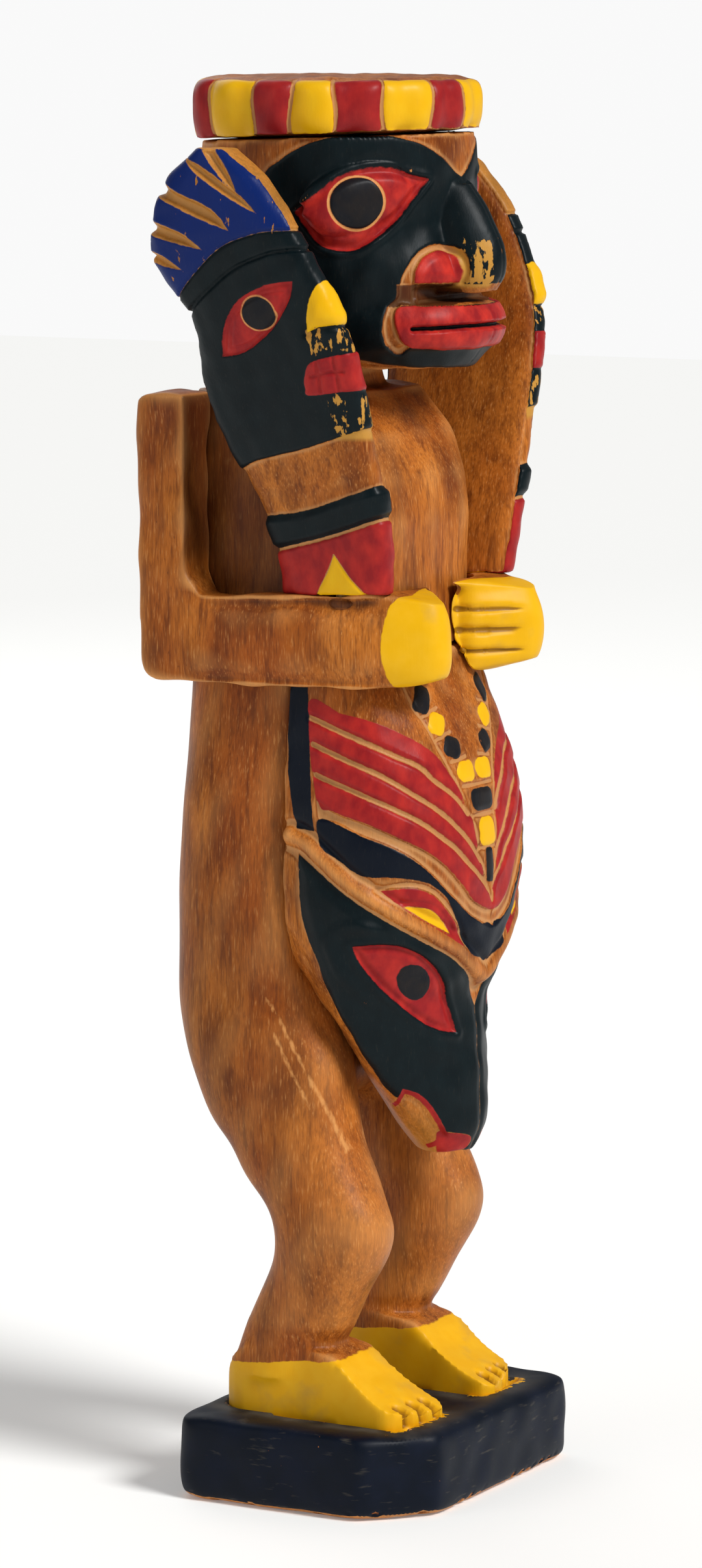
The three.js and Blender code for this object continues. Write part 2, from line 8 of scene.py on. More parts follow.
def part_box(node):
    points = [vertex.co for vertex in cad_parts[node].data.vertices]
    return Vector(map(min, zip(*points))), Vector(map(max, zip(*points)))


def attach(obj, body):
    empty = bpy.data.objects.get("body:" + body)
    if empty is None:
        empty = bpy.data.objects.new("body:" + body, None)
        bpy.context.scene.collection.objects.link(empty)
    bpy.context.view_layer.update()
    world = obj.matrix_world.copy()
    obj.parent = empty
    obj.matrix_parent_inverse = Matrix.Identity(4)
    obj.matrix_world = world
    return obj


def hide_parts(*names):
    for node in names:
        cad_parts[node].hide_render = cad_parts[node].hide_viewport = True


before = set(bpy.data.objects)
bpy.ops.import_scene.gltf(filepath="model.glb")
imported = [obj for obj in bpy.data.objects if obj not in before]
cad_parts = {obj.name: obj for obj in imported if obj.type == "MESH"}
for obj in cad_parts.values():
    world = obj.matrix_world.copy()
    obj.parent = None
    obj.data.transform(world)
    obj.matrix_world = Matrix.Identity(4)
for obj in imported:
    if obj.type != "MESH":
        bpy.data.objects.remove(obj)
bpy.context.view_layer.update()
mm = 0.001

# ---- Camera, floor and light ----

cameraSetting = {
    "azimuth": -60.958,
    "elevation": 7.773,
    "target": (-0.003017, 0.005433, 0.178),
    "distance": 1.500263,
    "lens": 137.15,
    "sensor": 36,
    "farthest": 20,
}
lightSetting = {
    "sunPower": 3.0,
    "sunSpread": 18,  # degrees across
    "sunPlace": (-0.3, -1.5, 1.5),
    "fillPower": 4,
    "areaSize": 1.2,
    "fillPlace": (-1.6, 0.8, 0.9),
    "rimPower": 4,
    "rimPlace": (0.9, 1.2, 1.0),
    "aimAt": (0, 0, 0.18),
    "skyStrength": 0.27,
    "backdrop": 0.95,
    "floorSize": 8,
    "floorColour": (0.9, 0.9, 0.88, 1),
    "floorRoughness": 0.8,
    "floorGlow": 0.15,
}


def makeCamera(setting):
    azimuth = math.radians(setting["azimuth"])
    elevation = math.radians(setting["elevation"])
    level = math.cos(elevation)
    back = Vector((math.sin(azimuth) * level, -math.cos(azimuth) * level, math.sin(elevation)))
    data = bpy.data.cameras.new("camera")
    data.lens = setting["lens"]
    data.sensor_width = setting["sensor"]
    data.clip_end = setting["farthest"]
    camera = bpy.data.objects.new("camera", data)
    bpy.context.collection.objects.link(camera)
    camera.location = Vector(setting["target"]) + back * setting["distance"]
    camera.rotation_euler = back.to_track_quat("Z", "Y").to_euler()
    bpy.context.scene.camera = camera


def makeLight(name, place, power, size=None, spread=None):
    data = bpy.data.lights.new(name, "AREA" if size else "SUN")
    data.energy = power
    if size:
        data.size = size
    else:
        data.angle = math.radians(spread)
    light = bpy.data.objects.new(name, data)
    bpy.context.collection.objects.link(light)
    light.location = place
    aim = Vector(place) - Vector(lightSetting["aimAt"])
    light.rotation_euler = aim.to_track_quat("Z", "Y").to_euler()


def makeStage(setting):
    bpy.ops.object.select_all(action="DESELECT")
    bpy.ops.mesh.primitive_plane_add(size=setting["floorSize"], location=(0, 0, 0))
    floor = bpy.context.object
    floor.name = "floor"
    material = bpy.data.materials.new("paleFloor")
    material.use_nodes = True
    shader = material.node_tree.nodes["Principled BSDF"]
    shader.inputs["Base Color"].default_value = setting["floorColour"]
    shader.inputs["Roughness"].default_value = setting["floorRoughness"]
    shader.inputs["Emission Color"].default_value = (1, 1, 1, 1)
    shader.inputs["Emission Strength"].default_value = setting["floorGlow"]
    floor.data.materials.append(material)
    makeLight("sunLight", setting["sunPlace"], setting["sunPower"], spread=setting["sunSpread"])
    makeLight("fillLight", setting["fillPlace"], setting["fillPower"], setting["areaSize"])
    makeLight("rimLight", setting["rimPlace"], setting["rimPower"], setting["areaSize"])
    world = bpy.data.worlds.new("paleRoom")
    world.use_nodes = True
    background = world.node_tree.nodes["Background"]
    background.inputs["Color"].default_value = (1, 1, 1, 1)
    # The camera sees a paler room than the one that lights the figure
    seen = world.node_tree.nodes.new("ShaderNodeLightPath")
    level = world.node_tree.nodes.new("ShaderNodeMapRange")
    level.inputs[3].default_value = setting["skyStrength"]
    level.inputs[4].default_value = setting["backdrop"]
    world.node_tree.links.new(seen.outputs["Is Camera Ray"], level.inputs[0])
    world.node_tree.links.new(level.outputs[0], background.inputs["Strength"])
    bpy.context.scene.world = world
    bpy.context.scene.view_settings.view_transform = "Standard"


makeCamera(cameraSetting)
makeStage(lightSetting)
print("camera, floor and light")

# ---- Shader maths ----


def paintColour(*levels):
    # Display levels from 0 to 255, turned into the linear colour that a shader takes
    linear = [c / 255 / 12.92 if c < 11 else ((c / 255 + 0.055) / 1.055) ** 2.4 for c in levels]
    return (*linear, 1)


class Wire:
    def __init__(self, tree, socket=None):
        self.tree = tree
        self.socket = socket

    def node(self, kind, settings=None, values=None, output=0):
        made = self.tree.nodes.new(kind)
        for key, value in (settings or {}).items():
            setattr(made, key, value)
        for key, value in (values or {}).items():
            if isinstance(value, Wire):
                self.tree.links.new(value.socket, made.inputs[key])
            else:
                made.inputs[key].default_value = value
        return Wire(self.tree, made.outputs[output])

    def math(self, operation, first, second=0.0):
        return self.node("ShaderNodeMath", {"operation": operation}, {0: first, 1: second})

    def __add__(self, other):
        return self.math("ADD", self, other)

    def __sub__(self, other):
        return self.math("SUBTRACT", self, other)

    def __rsub__(self, other):
        return self.math("SUBTRACT", other, self)

    def __mul__(self, other):
        return self.math("MULTIPLY", self, other)

    __radd__ = __add__
    __rmul__ = __mul__

    def most(self, other):
        return self.math("MAXIMUM", self, other)

    def fade(self, start, end):
        return self.node("ShaderNodeMapRange", {"clamp": True}, {0: self, 1: start, 2: end, 3: 0.0, 4: 1.0})

    def tint(self, below, above):
        return self.node("ShaderNodeMix", {"data_type": "RGBA"}, {0: self, 6: below, 7: above}, 2)

    def swing(self, amount):
        return self * amount - amount / 2

    def noise(self, size, detail):
        scaled = self.node("ShaderNodeVectorMath", {"operation": "MULTIPLY"},
                           {0: self, 1: tuple(1 / (s * mm) for s in size)})
        return self.node("ShaderNodeTexNoise", None, {"Vector": scaled, "Scale": 1.0, "Detail": detail})

    def parts(self):
        split = self.node("ShaderNodeSeparateXYZ", None, {0: self}).socket.node
        return [Wire(self.tree, socket) for socket in split.outputs]


def attribute(start, name):
    return start.node("ShaderNodeAttribute", {"attribute_name": name}, None, "Vector").parts()


def startMaterial(name):
    material = bpy.data.materials.new(name)
    material.use_nodes = True
    return material, Wire(material.node_tree)


glossSetting = {"specular": 0.13, "coatRoughness": 0.3, "bumpDepth": 0.13}


def endMaterial(material, colour, roughness, height, coat=0.0, bumpDepth=glossSetting["bumpDepth"]):
    shader = material.node_tree.nodes["Principled BSDF"]
    start = Wire(material.node_tree)
    settings = {"Strength": 1.0, "Distance": bumpDepth * mm, "Height": height}
    bump = start.node("ShaderNodeBump", None, settings)
    for key, wire in (("Base Color", colour), ("Roughness", roughness), ("Normal", bump)):
        material.node_tree.links.new(wire.socket, shader.inputs[key])
    shader.inputs["Specular IOR Level"].default_value = glossSetting["specular"]
    shader.inputs["Coat Weight"].default_value = coat
    shader.inputs["Coat Roughness"].default_value = glossSetting["coatRoughness"]
    return material


# ---- Wood and paint ----

woodColour = {
    "light": paintColour(188, 110, 38),
    "middle": paintColour(154, 78, 22),
    "dark": paintColour(88, 36, 10),
    # the brown of painted shade in hollows, recesses and the mouth
    "paintedShade": paintColour(56, 24, 11),
    "worn": paintColour(222, 158, 92),
    "cut": paintColour(196, 142, 88),
    "scraped": paintColour(186, 134, 56),
    "fleck": paintColour(76, 32, 12),
}
paints = {
    "black": paintColour(2, 14, 18),
    "red": paintColour(138, 24, 28),
    "warmRed": paintColour(200, 50, 38),
    "yellow": paintColour(226, 170, 6),
    "blue": paintColour(4, 32, 96),
    "navy": paintColour(2, 10, 24),
    "ink": paintColour(16, 18, 24),
    "ochre": paintColour(226, 166, 14),
    "dust": paintColour(112, 104, 88),
}
paintLights = {  # what each paint varies towards
    "black": paintColour(9, 24, 28),
    "red": paints["warmRed"],
    "yellow": paintColour(228, 180, 24),
    "blue": paints["blue"],
    "navy": paints["navy"],
    "ink": paintColour(40, 32, 26),
    "limb": paintColour(230, 176, 30),
    "plinth": paintColour(10, 19, 38),
}
woodGrain = {  # size in millimetres, detail
    "patches": ((22, 22, 40), 4),
    "clouds": ((11, 11, 22), 6),
    "streaks": ((1.6, 1.6, 16), 4),
    "fibres": ((0.4, 0.4, 3.6), 3),
    "specks": ((0.8, 0.8, 1.8), 2),
}
woodTints = (  # grain, where it begins and where it is full, strength, colour
    ("clouds", 0.44, 0.7, 0.75, "dark"),
    ("streaks", 0.48, 0.7, 0.6, "dark"),
    ("fibres", 0.5, 0.68, 0.42, "fleck"),
    ("fibres", 0.42, 0.28, 0.4, "worn"),
    ("specks", 0.7, 0.8, 0.6, "fleck"),
)
woodFinish = {
    "edgeWear": 0.6,
    # painted shade: how much the wood darkens in hollows, and under the painted-shade mask
    "hollowPaintedShade": 0.8,
    "paintedShade": 0.85,
    "roughness": 0.34,
    "roughnessSpread": 0.18,
    "fibreHeight": 0.6,
    "streakHeight": 0.3,
}
carvedGrain = {
    "edge": ((1.6, 1.6, 1.6), 3),
    "chips": ((1.8, 1.8, 4.2), 6),
    "mottle": ((3.5, 3.5, 5), 4),
    "brush": ((0.5, 0.5, 2.5), 3),
    "broad": ((14, 14, 14), 2),
}
carvedFinish = {
    "freshCut": 0.75,
    "edgeWobble": 0.5,  # millimetres, as the fade of an edge is
    "edgeFade": 0.1,
    "ridgeWear": 0.1,
    "rubbedWear": 0.55,
    "chipped": 0.79,
    "whole": 0.76,
    "mottling": 0.5,
    "brushDust": 0.05,
    "bareRing": 0.85,
    "roughness": 0.3,
    "roughnessSpread": 0.25,
    "paintHeight": 0.5,
    "mottleHeight": 0.25,
}
limbGrain = {
    "edge": ((2.2, 2.2, 2.2), 3),
    "scratches": ((1.4, 1.4, 4), 4),
    "mottle": ((4, 4, 4), 4),
    "dirt": ((9, 9, 9), 4),
}
limbFinish = {
    "edgeWobble": 0.8,
    "edgeFade": 0.12,
    "scratchWobble": 1.6,
    "scratches": 0.6,
    "mottling": 0.6,
    "dirt": 0.22,
    # painted shade in grooves
    "groovePaintedShade": 0.7,
    "roughness": 0.45,
    "paintHeight": 0.5,
    "coat": 0.05,
}
plinthGrain = {
    "scuffs": ((6, 6, 1.2), 5),
    "chips": ((1.6, 1.6, 1.6), 5),
    "mottle": ((8, 8, 8), 4),
}
plinthFinish = {
    "mottling": 0.6,
    "scuffs": 0.3,
    "dust": 0.5,
    "edgeWobble": 3,
    "slopWobble": 6,
    "ridgeWear": 0.12,
    "chipped": 0.79,
    "whole": 0.75,
    "roughness": 0.34,
    "roughnessSpread": 0.3,
    "paintHeight": 0.7,
    "mottleHeight": 0.3,
    "coat": 0.02,
}


def grainOf(place, sizes):
    return {name: place.noise(size, detail) for name, (size, detail) in sizes.items()}


def objectPlace(start):
    return start.node("ShaderNodeTexCoord", None, None, "Object")


def woodLayers(place, ridge, paintedShade, freshCut=0.0):
    look = woodFinish
    grain = grainOf(place, woodGrain)
    colour = grain["patches"].fade(0.36, 0.64).tint(woodColour["middle"], woodColour["light"])
    for name, begins, full, strength, tone in woodTints:
        colour = (grain[name].fade(begins, full) * strength).tint(colour, woodColour[tone])
    colour = (ridge.fade(0.03, 0.3) * look["edgeWear"]).tint(colour, woodColour["worn"])
    if freshCut:
        colour = ((0 - ridge).fade(0.0, 0.12) * freshCut).tint(colour, woodColour["cut"])
    # Painted shade: the wood darkens in hollows and creases, and wherever the painted-shade mask is set
    hollowShade = (0 - ridge).fade(0.05, 0.4) * (look["hollowPaintedShade"] - freshCut)
    colour = hollowShade.most(paintedShade.fade(0.0, 1.0) * look["paintedShade"]).tint(colour, woodColour["paintedShade"])
    roughness = grain["patches"] * look["roughnessSpread"] + look["roughness"]
    height = grain["fibres"] * look["fibreHeight"] + grain["streaks"] * look["streakHeight"]
    return colour, roughness, height


def carvedMaterial(name, blue="blue", coat=0.03, warmth=carvedFinish["mottling"]):
    look = carvedFinish
    material, start = startMaterial(name)
    place = objectPlace(start)
    blackZone, redZone, yellowZone = attribute(start, "paint")
    blueZone, inkZone, bareZone = attribute(start, "more")
    ridge, wear, paintedShade = attribute(start, "shape")
    colour, roughness, height = woodLayers(place, ridge, paintedShade, look["freshCut"])
    grain = grainOf(place, carvedGrain)
    wobble = grain["edge"].swing(look["edgeWobble"])
    worn = ridge.fade(0.08, 0.5) * look["ridgeWear"] + wear * look["rubbedWear"]
    kept = (grain["chips"] + worn).fade(look["chipped"], look["whole"])
    colour = wear.fade(0.05, 0.3).tint(colour, woodColour["scraped"])
    edge = look["edgeFade"]
    covered = None
    layers = ((blackZone, "black"), (redZone, "red"), (yellowZone, "yellow"),
              (blueZone, blue), (inkZone, "ink"))
    for zone, paint in layers:
        spread = warmth if paint == "red" else look["mottling"]
        tone = (grain["mottle"].fade(0.35, 0.7) * spread).tint(paints[paint], paintLights[paint])
        tone = (grain["brush"].fade(0.6, 0.8) * look["brushDust"]).tint(tone, paints["dust"])
        mask = (zone + wobble).fade(edge, -edge) * kept
        colour = mask.tint(colour, tone)
        covered = mask if covered is None else covered.most(mask)
    bare = (bareZone + wobble * 0.5).fade(edge, -edge)
    colour = (bare * look["bareRing"]).tint(colour, woodColour["worn"])
    covered = covered * (1 - bare)
    paintRoughness = grain["broad"] * look["roughnessSpread"] + look["roughness"]
    rough = roughness * (1 - covered) + paintRoughness * covered
    height = height * (1 - covered * 0.6) + covered * look["paintHeight"]
    return endMaterial(material, colour, rough, height + grain["mottle"] * look["mottleHeight"], coat)


def limbMaterial(name, paint="ochre"):
    look = limbFinish
    material, start = startMaterial(name)
    place = objectPlace(start)
    yellowZone = attribute(start, "paint")[2]
    scratchZone = attribute(start, "more")[2]
    ridge, _, paintedShade = attribute(start, "shape")
    colour, roughness, height = woodLayers(place, ridge, paintedShade)
    grain = grainOf(place, limbGrain)
    scratched = scratchZone + grain["scratches"].swing(look["scratchWobble"])
    colour = (scratched.fade(0.2, -0.3) * look["scratches"]).tint(colour, woodColour["worn"])
    tone = (grain["mottle"].fade(0.4, 0.7) * look["mottling"]).tint(paints[paint], paintLights["limb"])
    tone = (grain["dirt"].fade(0.55, 0.75) * look["dirt"]).tint(tone, paints["dust"])
    # Painted shade: the yellow paint darkens in grooves such as the fingers and toes
    tone = ((0 - ridge).fade(0.04, 0.3) * look["groovePaintedShade"]).tint(tone, woodColour["dark"])
    mask = (yellowZone + grain["edge"].swing(look["edgeWobble"])).fade(look["edgeFade"], -look["edgeFade"])
    colour = mask.tint(colour, tone)
    rough = roughness * (1 - mask) + mask * look["roughness"]
    height = height * (1 - mask * 0.7) + mask * look["paintHeight"]
    return endMaterial(material, colour, rough, height, look["coat"])


def plinthMaterial(name):
    look = plinthFinish
    material, start = startMaterial(name)
    place = objectPlace(start)
    bareZone, dustZone, yellowZone = attribute(start, "paint")
    ridge, _, paintedShade = attribute(start, "shape")
    colour, roughness, height = woodLayers(place, ridge, paintedShade)
    grain = grainOf(place, plinthGrain)
    chips, mottle = grain["chips"], grain["mottle"]
    tone = (mottle.fade(0.4, 0.7) * look["mottling"]).tint(paints["navy"], paintLights["plinth"])
    tone = (grain["scuffs"].fade(0.62, 0.8) * look["scuffs"]).tint(tone, paints["dust"])
    tone = (dustZone.fade(0.0, 1.0) * mottle.fade(0.3, 0.75) * look["dust"]).tint(tone, paints["dust"])
    kept = (bareZone + chips.swing(look["edgeWobble"])).fade(-0.15, 0.15)
    kept = kept * (chips + ridge.fade(0.1, 0.6) * look["ridgeWear"]).fade(look["chipped"], look["whole"])
    colour = kept.tint(colour, tone)
    slop = (yellowZone + chips.swing(look["slopWobble"])).fade(0.1, -0.1)
    colour = slop.tint(colour, paints["ochre"])
    paintRoughness = mottle * look["roughnessSpread"] + look["roughness"]
    rough = roughness * (1 - kept) + paintRoughness * kept
    height = height * (1 - kept) + kept * look["paintHeight"] + mottle * look["mottleHeight"]
    return endMaterial(material, colour, rough, height, look["coat"])


def plainMaterial(name, colour, dark, roughness, metallic=0.0):
    material, start = startMaterial(name)
    grain = objectPlace(start).noise((0.5, 0.5, 4), 3)
    material.node_tree.nodes["Principled BSDF"].inputs["Metallic"].default_value = metallic
    tone = grain.fade(0.4, 0.7).tint(colour, dark)
    return endMaterial(material, tone, grain * 0.2 + roughness, grain, bumpDepth=0.05)


# ---- Lines and zones: an outline's points are millimetres; a point written twice is a sharp corner ----


def flow(points, closed=False, steps=6):
    points = np.array(points, float)
    count = len(points)
    run = []
    for i in range(count if closed else count - 1):
        spots = [k % count if closed else min(max(k, 0), count - 1) for k in (i - 1, i, i + 1, i + 2)]
        before, start, end, after = points[spots]
        if np.allclose(start, end):
            continue
        for t in np.arange(steps) / steps:
            run.append(0.5 * (2 * start + (end - before) * t
                              + (2 * before - 5 * start + 4 * end - after) * t ** 2
                              + (3 * start - before - 3 * end + after) * t ** 3))
    if not closed:
        run.append(points[-1])
    return np.array(run)


def lineDistance(flat, line, closed=False, margin=7.0):
    far = np.full(len(flat), margin)
    near = np.all((flat > line.min(0) - margin) & (flat < line.max(0) + margin), axis=1)
    spots = flat[near]
    ends = np.roll(line, -1, 0) if closed else line[1:]
    starts = line if closed else line[:-1]
    best = np.full(len(spots), margin ** 2)
    inside = np.zeros(len(spots), bool)
    for a, b in zip(starts, ends):
        along = b - a
        size = max(along @ along, 1e-9)
        t = np.clip(((spots - a) @ along) / size, 0, 1)
        best = np.minimum(best, ((spots - a - t[:, None] * along) ** 2).sum(1))
        if closed and a[1] != b[1]:
            crosses = (a[1] > spots[:, 1]) != (b[1] > spots[:, 1])
            inside ^= crosses & (spots[:, 0] < a[0] + along[0] * (spots[:, 1] - a[1]) / along[1])
    found = np.sqrt(best)
    far[near] = np.where(inside, -found, found)
    return far


unpainted = 7  # millimetres from any paint


def zone(flat, outline, scale=(1, 1)):
    return lineDistance(flat, flow(outline, True) * scale, True)


def stroke(flat, points, scale=(1, 1)):
    return lineDistance(flat, flow(points) * scale)


def roundedBox(flat, middle, half, tilt=0.0, corner=0.8):
    c, s = math.cos(math.radians(tilt)), math.sin(math.radians(tilt))
    moved = (flat - middle) @ np.array([[c, -s], [s, c]])
    past = np.abs(moved) - np.array(half) + corner
    return np.hypot(*np.maximum(past, 0).T) + np.minimum(past.max(1), 0) - corner


def ease(value, start, end):
    t = np.clip((value - start) / (end - start), 0, 1)
    return t * t * (3 - 2 * t)


def swell(distance, middle, width):
    return np.exp(-((distance - middle) / width) ** 2)


def vee(distance, width, depth):
    return -depth * np.clip(1 - np.abs(distance) / (width / 2), 0, 1) ** 0.8


def ripple(points, size, seed):
    # The slight unevenness of hewn wood: ten plane waves about this many millimetres long
    draw = np.random.default_rng(seed)
    total = np.zeros(len(points))
    for _ in range(10):
        way = draw.normal(size=3)
        way *= 2 * math.pi / size / np.linalg.norm(way) * draw.uniform(0.7, 1.4)
        total += np.sin(points @ way + draw.uniform(0, 6.28))
    return total / 3.2


# ---- Fine meshes from the frame's solids ----


carveSetting = {"creaseStep": 0.7, "creaseCore": 0.2, "mergeGap": 1e-6, "ridgeRounds": 12}


class Carving:
    # A fine copy of one solid, smoothed except near its sharp edges; points are millimetres
    def __init__(self, node, name, voxel, rounds, keepEdge=1.6, sharp=32, refine=None, crisp=0.04):
        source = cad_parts[node]
        self.node = node
        self.object = bpy.data.objects.new(name, source.data.copy())
        bpy.context.collection.objects.link(self.object)
        self.object.data.materials.clear()
        mesh = bmesh.new()
        mesh.from_mesh(self.object.data)
        bmesh.ops.remove_doubles(mesh, verts=mesh.verts, dist=carveSetting["mergeGap"])
        creases = []
        for edge in mesh.edges:
            if len(edge.link_faces) == 2 and math.degrees(edge.calc_face_angle(0)) > sharp:
                a, b = (v.co / mm for v in edge.verts)
                pieces = max(1, int((b - a).length / carveSetting["creaseStep"]))
                creases += [a.lerp(b, k / pieces) for k in range(pieces + 1)]
        mesh.to_mesh(self.object.data)
        mesh.free()
        self.select()
        remesh = self.object.modifiers.new("remesh", "REMESH")
        remesh.mode = "VOXEL"
        remesh.voxel_size = voxel * mm
        bpy.ops.object.modifier_apply(modifier="remesh")
        if refine:
            self.refine(refine)
        self.read()
        self.smooth(rounds, self.creaseWeight(creases, keepEdge, crisp))

    def select(self):
        bpy.ops.object.select_all(action="DESELECT")
        self.object.select_set(True)
        bpy.context.view_layer.objects.active = self.object

    def refine(self, chosen):
        mesh = bmesh.new()
        mesh.from_mesh(self.object.data)
        edges = {e for f in mesh.faces if chosen(f.calc_center_median() / mm) for e in f.edges}
        bmesh.ops.subdivide_edges(mesh, edges=list(edges), cuts=1, use_grid_fill=True)
        mesh.to_mesh(self.object.data)
        mesh.free()

    def read(self):
        mesh = self.object.data
        points = np.empty(len(mesh.vertices) * 3)
        mesh.vertices.foreach_get("co", points)
        self.points = points.reshape(-1, 3) / mm
        edges = np.empty(len(mesh.edges) * 2, int)
        mesh.edges.foreach_get("vertices", edges)
        self.edges = edges.reshape(-1, 2)
        self.counts = np.bincount(edges, minlength=len(self.points))

    def creaseWeight(self, creases, reach, crisp):
        tree = kdtree.KDTree(max(len(creases), 1))
        for i, place in enumerate(creases or [Vector((1e4, 0, 0))]):
            tree.insert(place, i)
        tree.balance()
        away = np.array([tree.find(p)[2] for p in self.points])
        return crisp + (1 - crisp) * ease(away, carveSetting["creaseCore"], reach)

    def mean(self, values):
        a, b = self.edges.T
        size = len(values)
        columns = []
        for column in values.reshape(size, -1).T:
            total = np.bincount(a, column[b], size) + np.bincount(b, column[a], size)
            columns.append(total / np.maximum(self.counts, 1))
        return np.stack(columns, 1).reshape(values.shape)

    def smooth(self, rounds, weight=1.0):
        weight = np.broadcast_to(weight, len(self.points))[:, None]
        for _ in range(rounds):
            self.points = self.points + 0.5 * weight * (self.mean(self.points) - self.points)
        self.write()

    def write(self):
        self.object.data.vertices.foreach_set("co", (self.points * mm).ravel())
        self.object.data.update()
        normals = np.empty(len(self.points) * 3)
        self.object.data.vertex_normals.foreach_get("vector", normals)
        self.normals = normals.reshape(-1, 3)

    def push(self, amount):
        self.points = self.points + self.normals * np.asarray(amount)[:, None]
        self.write()

    def store(self, name, columns):
        values = [np.broadcast_to(np.asarray(c, float), len(self.points)) for c in columns]
        layer = self.object.data.attributes.new(name, "FLOAT_VECTOR", "POINT")
        layer.data.foreach_set("vector", np.stack(values, 1).ravel())

    def finish(self, material, paint, more=(unpainted,) * 3, wear=0.0, paintedShade=0.0):
        soft = self.points
        for _ in range(carveSetting["ridgeRounds"]):
            soft = 0.5 * soft + 0.5 * self.mean(soft)
        ridge = ((self.points - soft) * self.normals).sum(1)
        self.store("paint", paint)
        self.store("more", more)
        # shape holds each point's ridge, rubbed wear and painted shade
        self.store("shape", (ridge, wear, paintedShade))
        for polygon in self.object.data.polygons:
            polygon.use_smooth = True
        self.object.data.materials.append(material)
        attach(self.object, "root")
        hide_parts(self.node)
        print(self.object.name, len(self.object.data.polygons), "faces")


def boxOf(node):
    low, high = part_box(node)
    return np.array(low) / mm, np.array(high) / mm


def around(points, middle, radius, base):
    # Degrees round an upright axis, height above the base, and the millimetres that one of each makes
    angle = np.degrees(np.arctan2(-points[:, 0], middle - points[:, 1]))
    return angle, points[:, 2] - base, (math.radians(1) * radius, 1)


# ---- Head ----

headLook = {
    "voxel": 0.83,
    "smoothing": 26,
    "keepEdge": 1.4,
    "sharpAngle": 34,
    "radius": 34,
    "axisBack": 6.2,
    "browRaise": 0.5,
    "lidDepth": 1.1,
    "lidRim": 0.45,
    "pupilPlace": (53.2, 41),
    "pupilRadius": 6.3,
    "pupilGroove": 0.25,
    "borderDepth": 0.9,
    "nostrilRaise": 0.9,
    "slitDepth": 3.0,
    "slitWidth": 1.5,
    "mouthLow": 15.6,
    "mouthHigh": 21,
    "mouthHalf": 24,
    "hewn": 0.16,
    "neckLift": 0.6,
    "noseWear": 0.55,
}
brow = [(0, 46.5), (0, 46.5), (4.5, 48), (14, 51.3), (25, 54.4), (33, 55.6), (42, 56.3), (53, 56.4),
    (64, 55.9), (74, 54.3), (84, 51.1), (93, 47.3), (101, 36), (99, 18), (84, 6), (66, 3.2), (51, 2.6),
    (33, 1), (16, 0.4), (0, 0), (0, 0)]
headEye = [(21, 46.5), (21, 46.5), (28.4, 47.4), (37, 49), (45, 49.2), (54, 48.5), (60.5, 47),
    (66.3, 44.6), (72, 41.6), (79, 38.8), (79, 38.8), (74, 34.5), (69, 31), (62.7, 29.4), (54, 29.3),
    (46, 31.7), (36, 36.1), (28.9, 41.1)]
nostril = [(29.9, 21.2), (29.9, 21.2), (29.1, 24.3), (24.8, 27.3), (18, 28.8), (12.4, 28.1),
    (10.8, 25.5), (10.4, 21.2), (10.4, 21.2)]
nostrilBorder = [(35.6, 20.9), (35.6, 20.9), (33.8, 23.9), (28.3, 28), (20.5, 30.2), (12, 30),
    (9.6, 27.5), (9.4, 20.9), (9.4, 20.9)]
lips = [(0, 15.4), (0, 15.4), (20, 15.4), (33, 15.5), (37.4, 14.9), (38.8, 12.4), (37.6, 8.8),
    (34.4, 6.4), (28, 5.6), (14, 5.2), (0, 5.4), (0, 5.4)]
lipBorder = [(29, 21), (29, 21), (35.6, 21), (36.5, 18), (40.8, 15.2), (43.2, 11.2), (41.4, 6.6),
    (34.4, 4), (33, 8), (36, 15.8), (29, 16)]


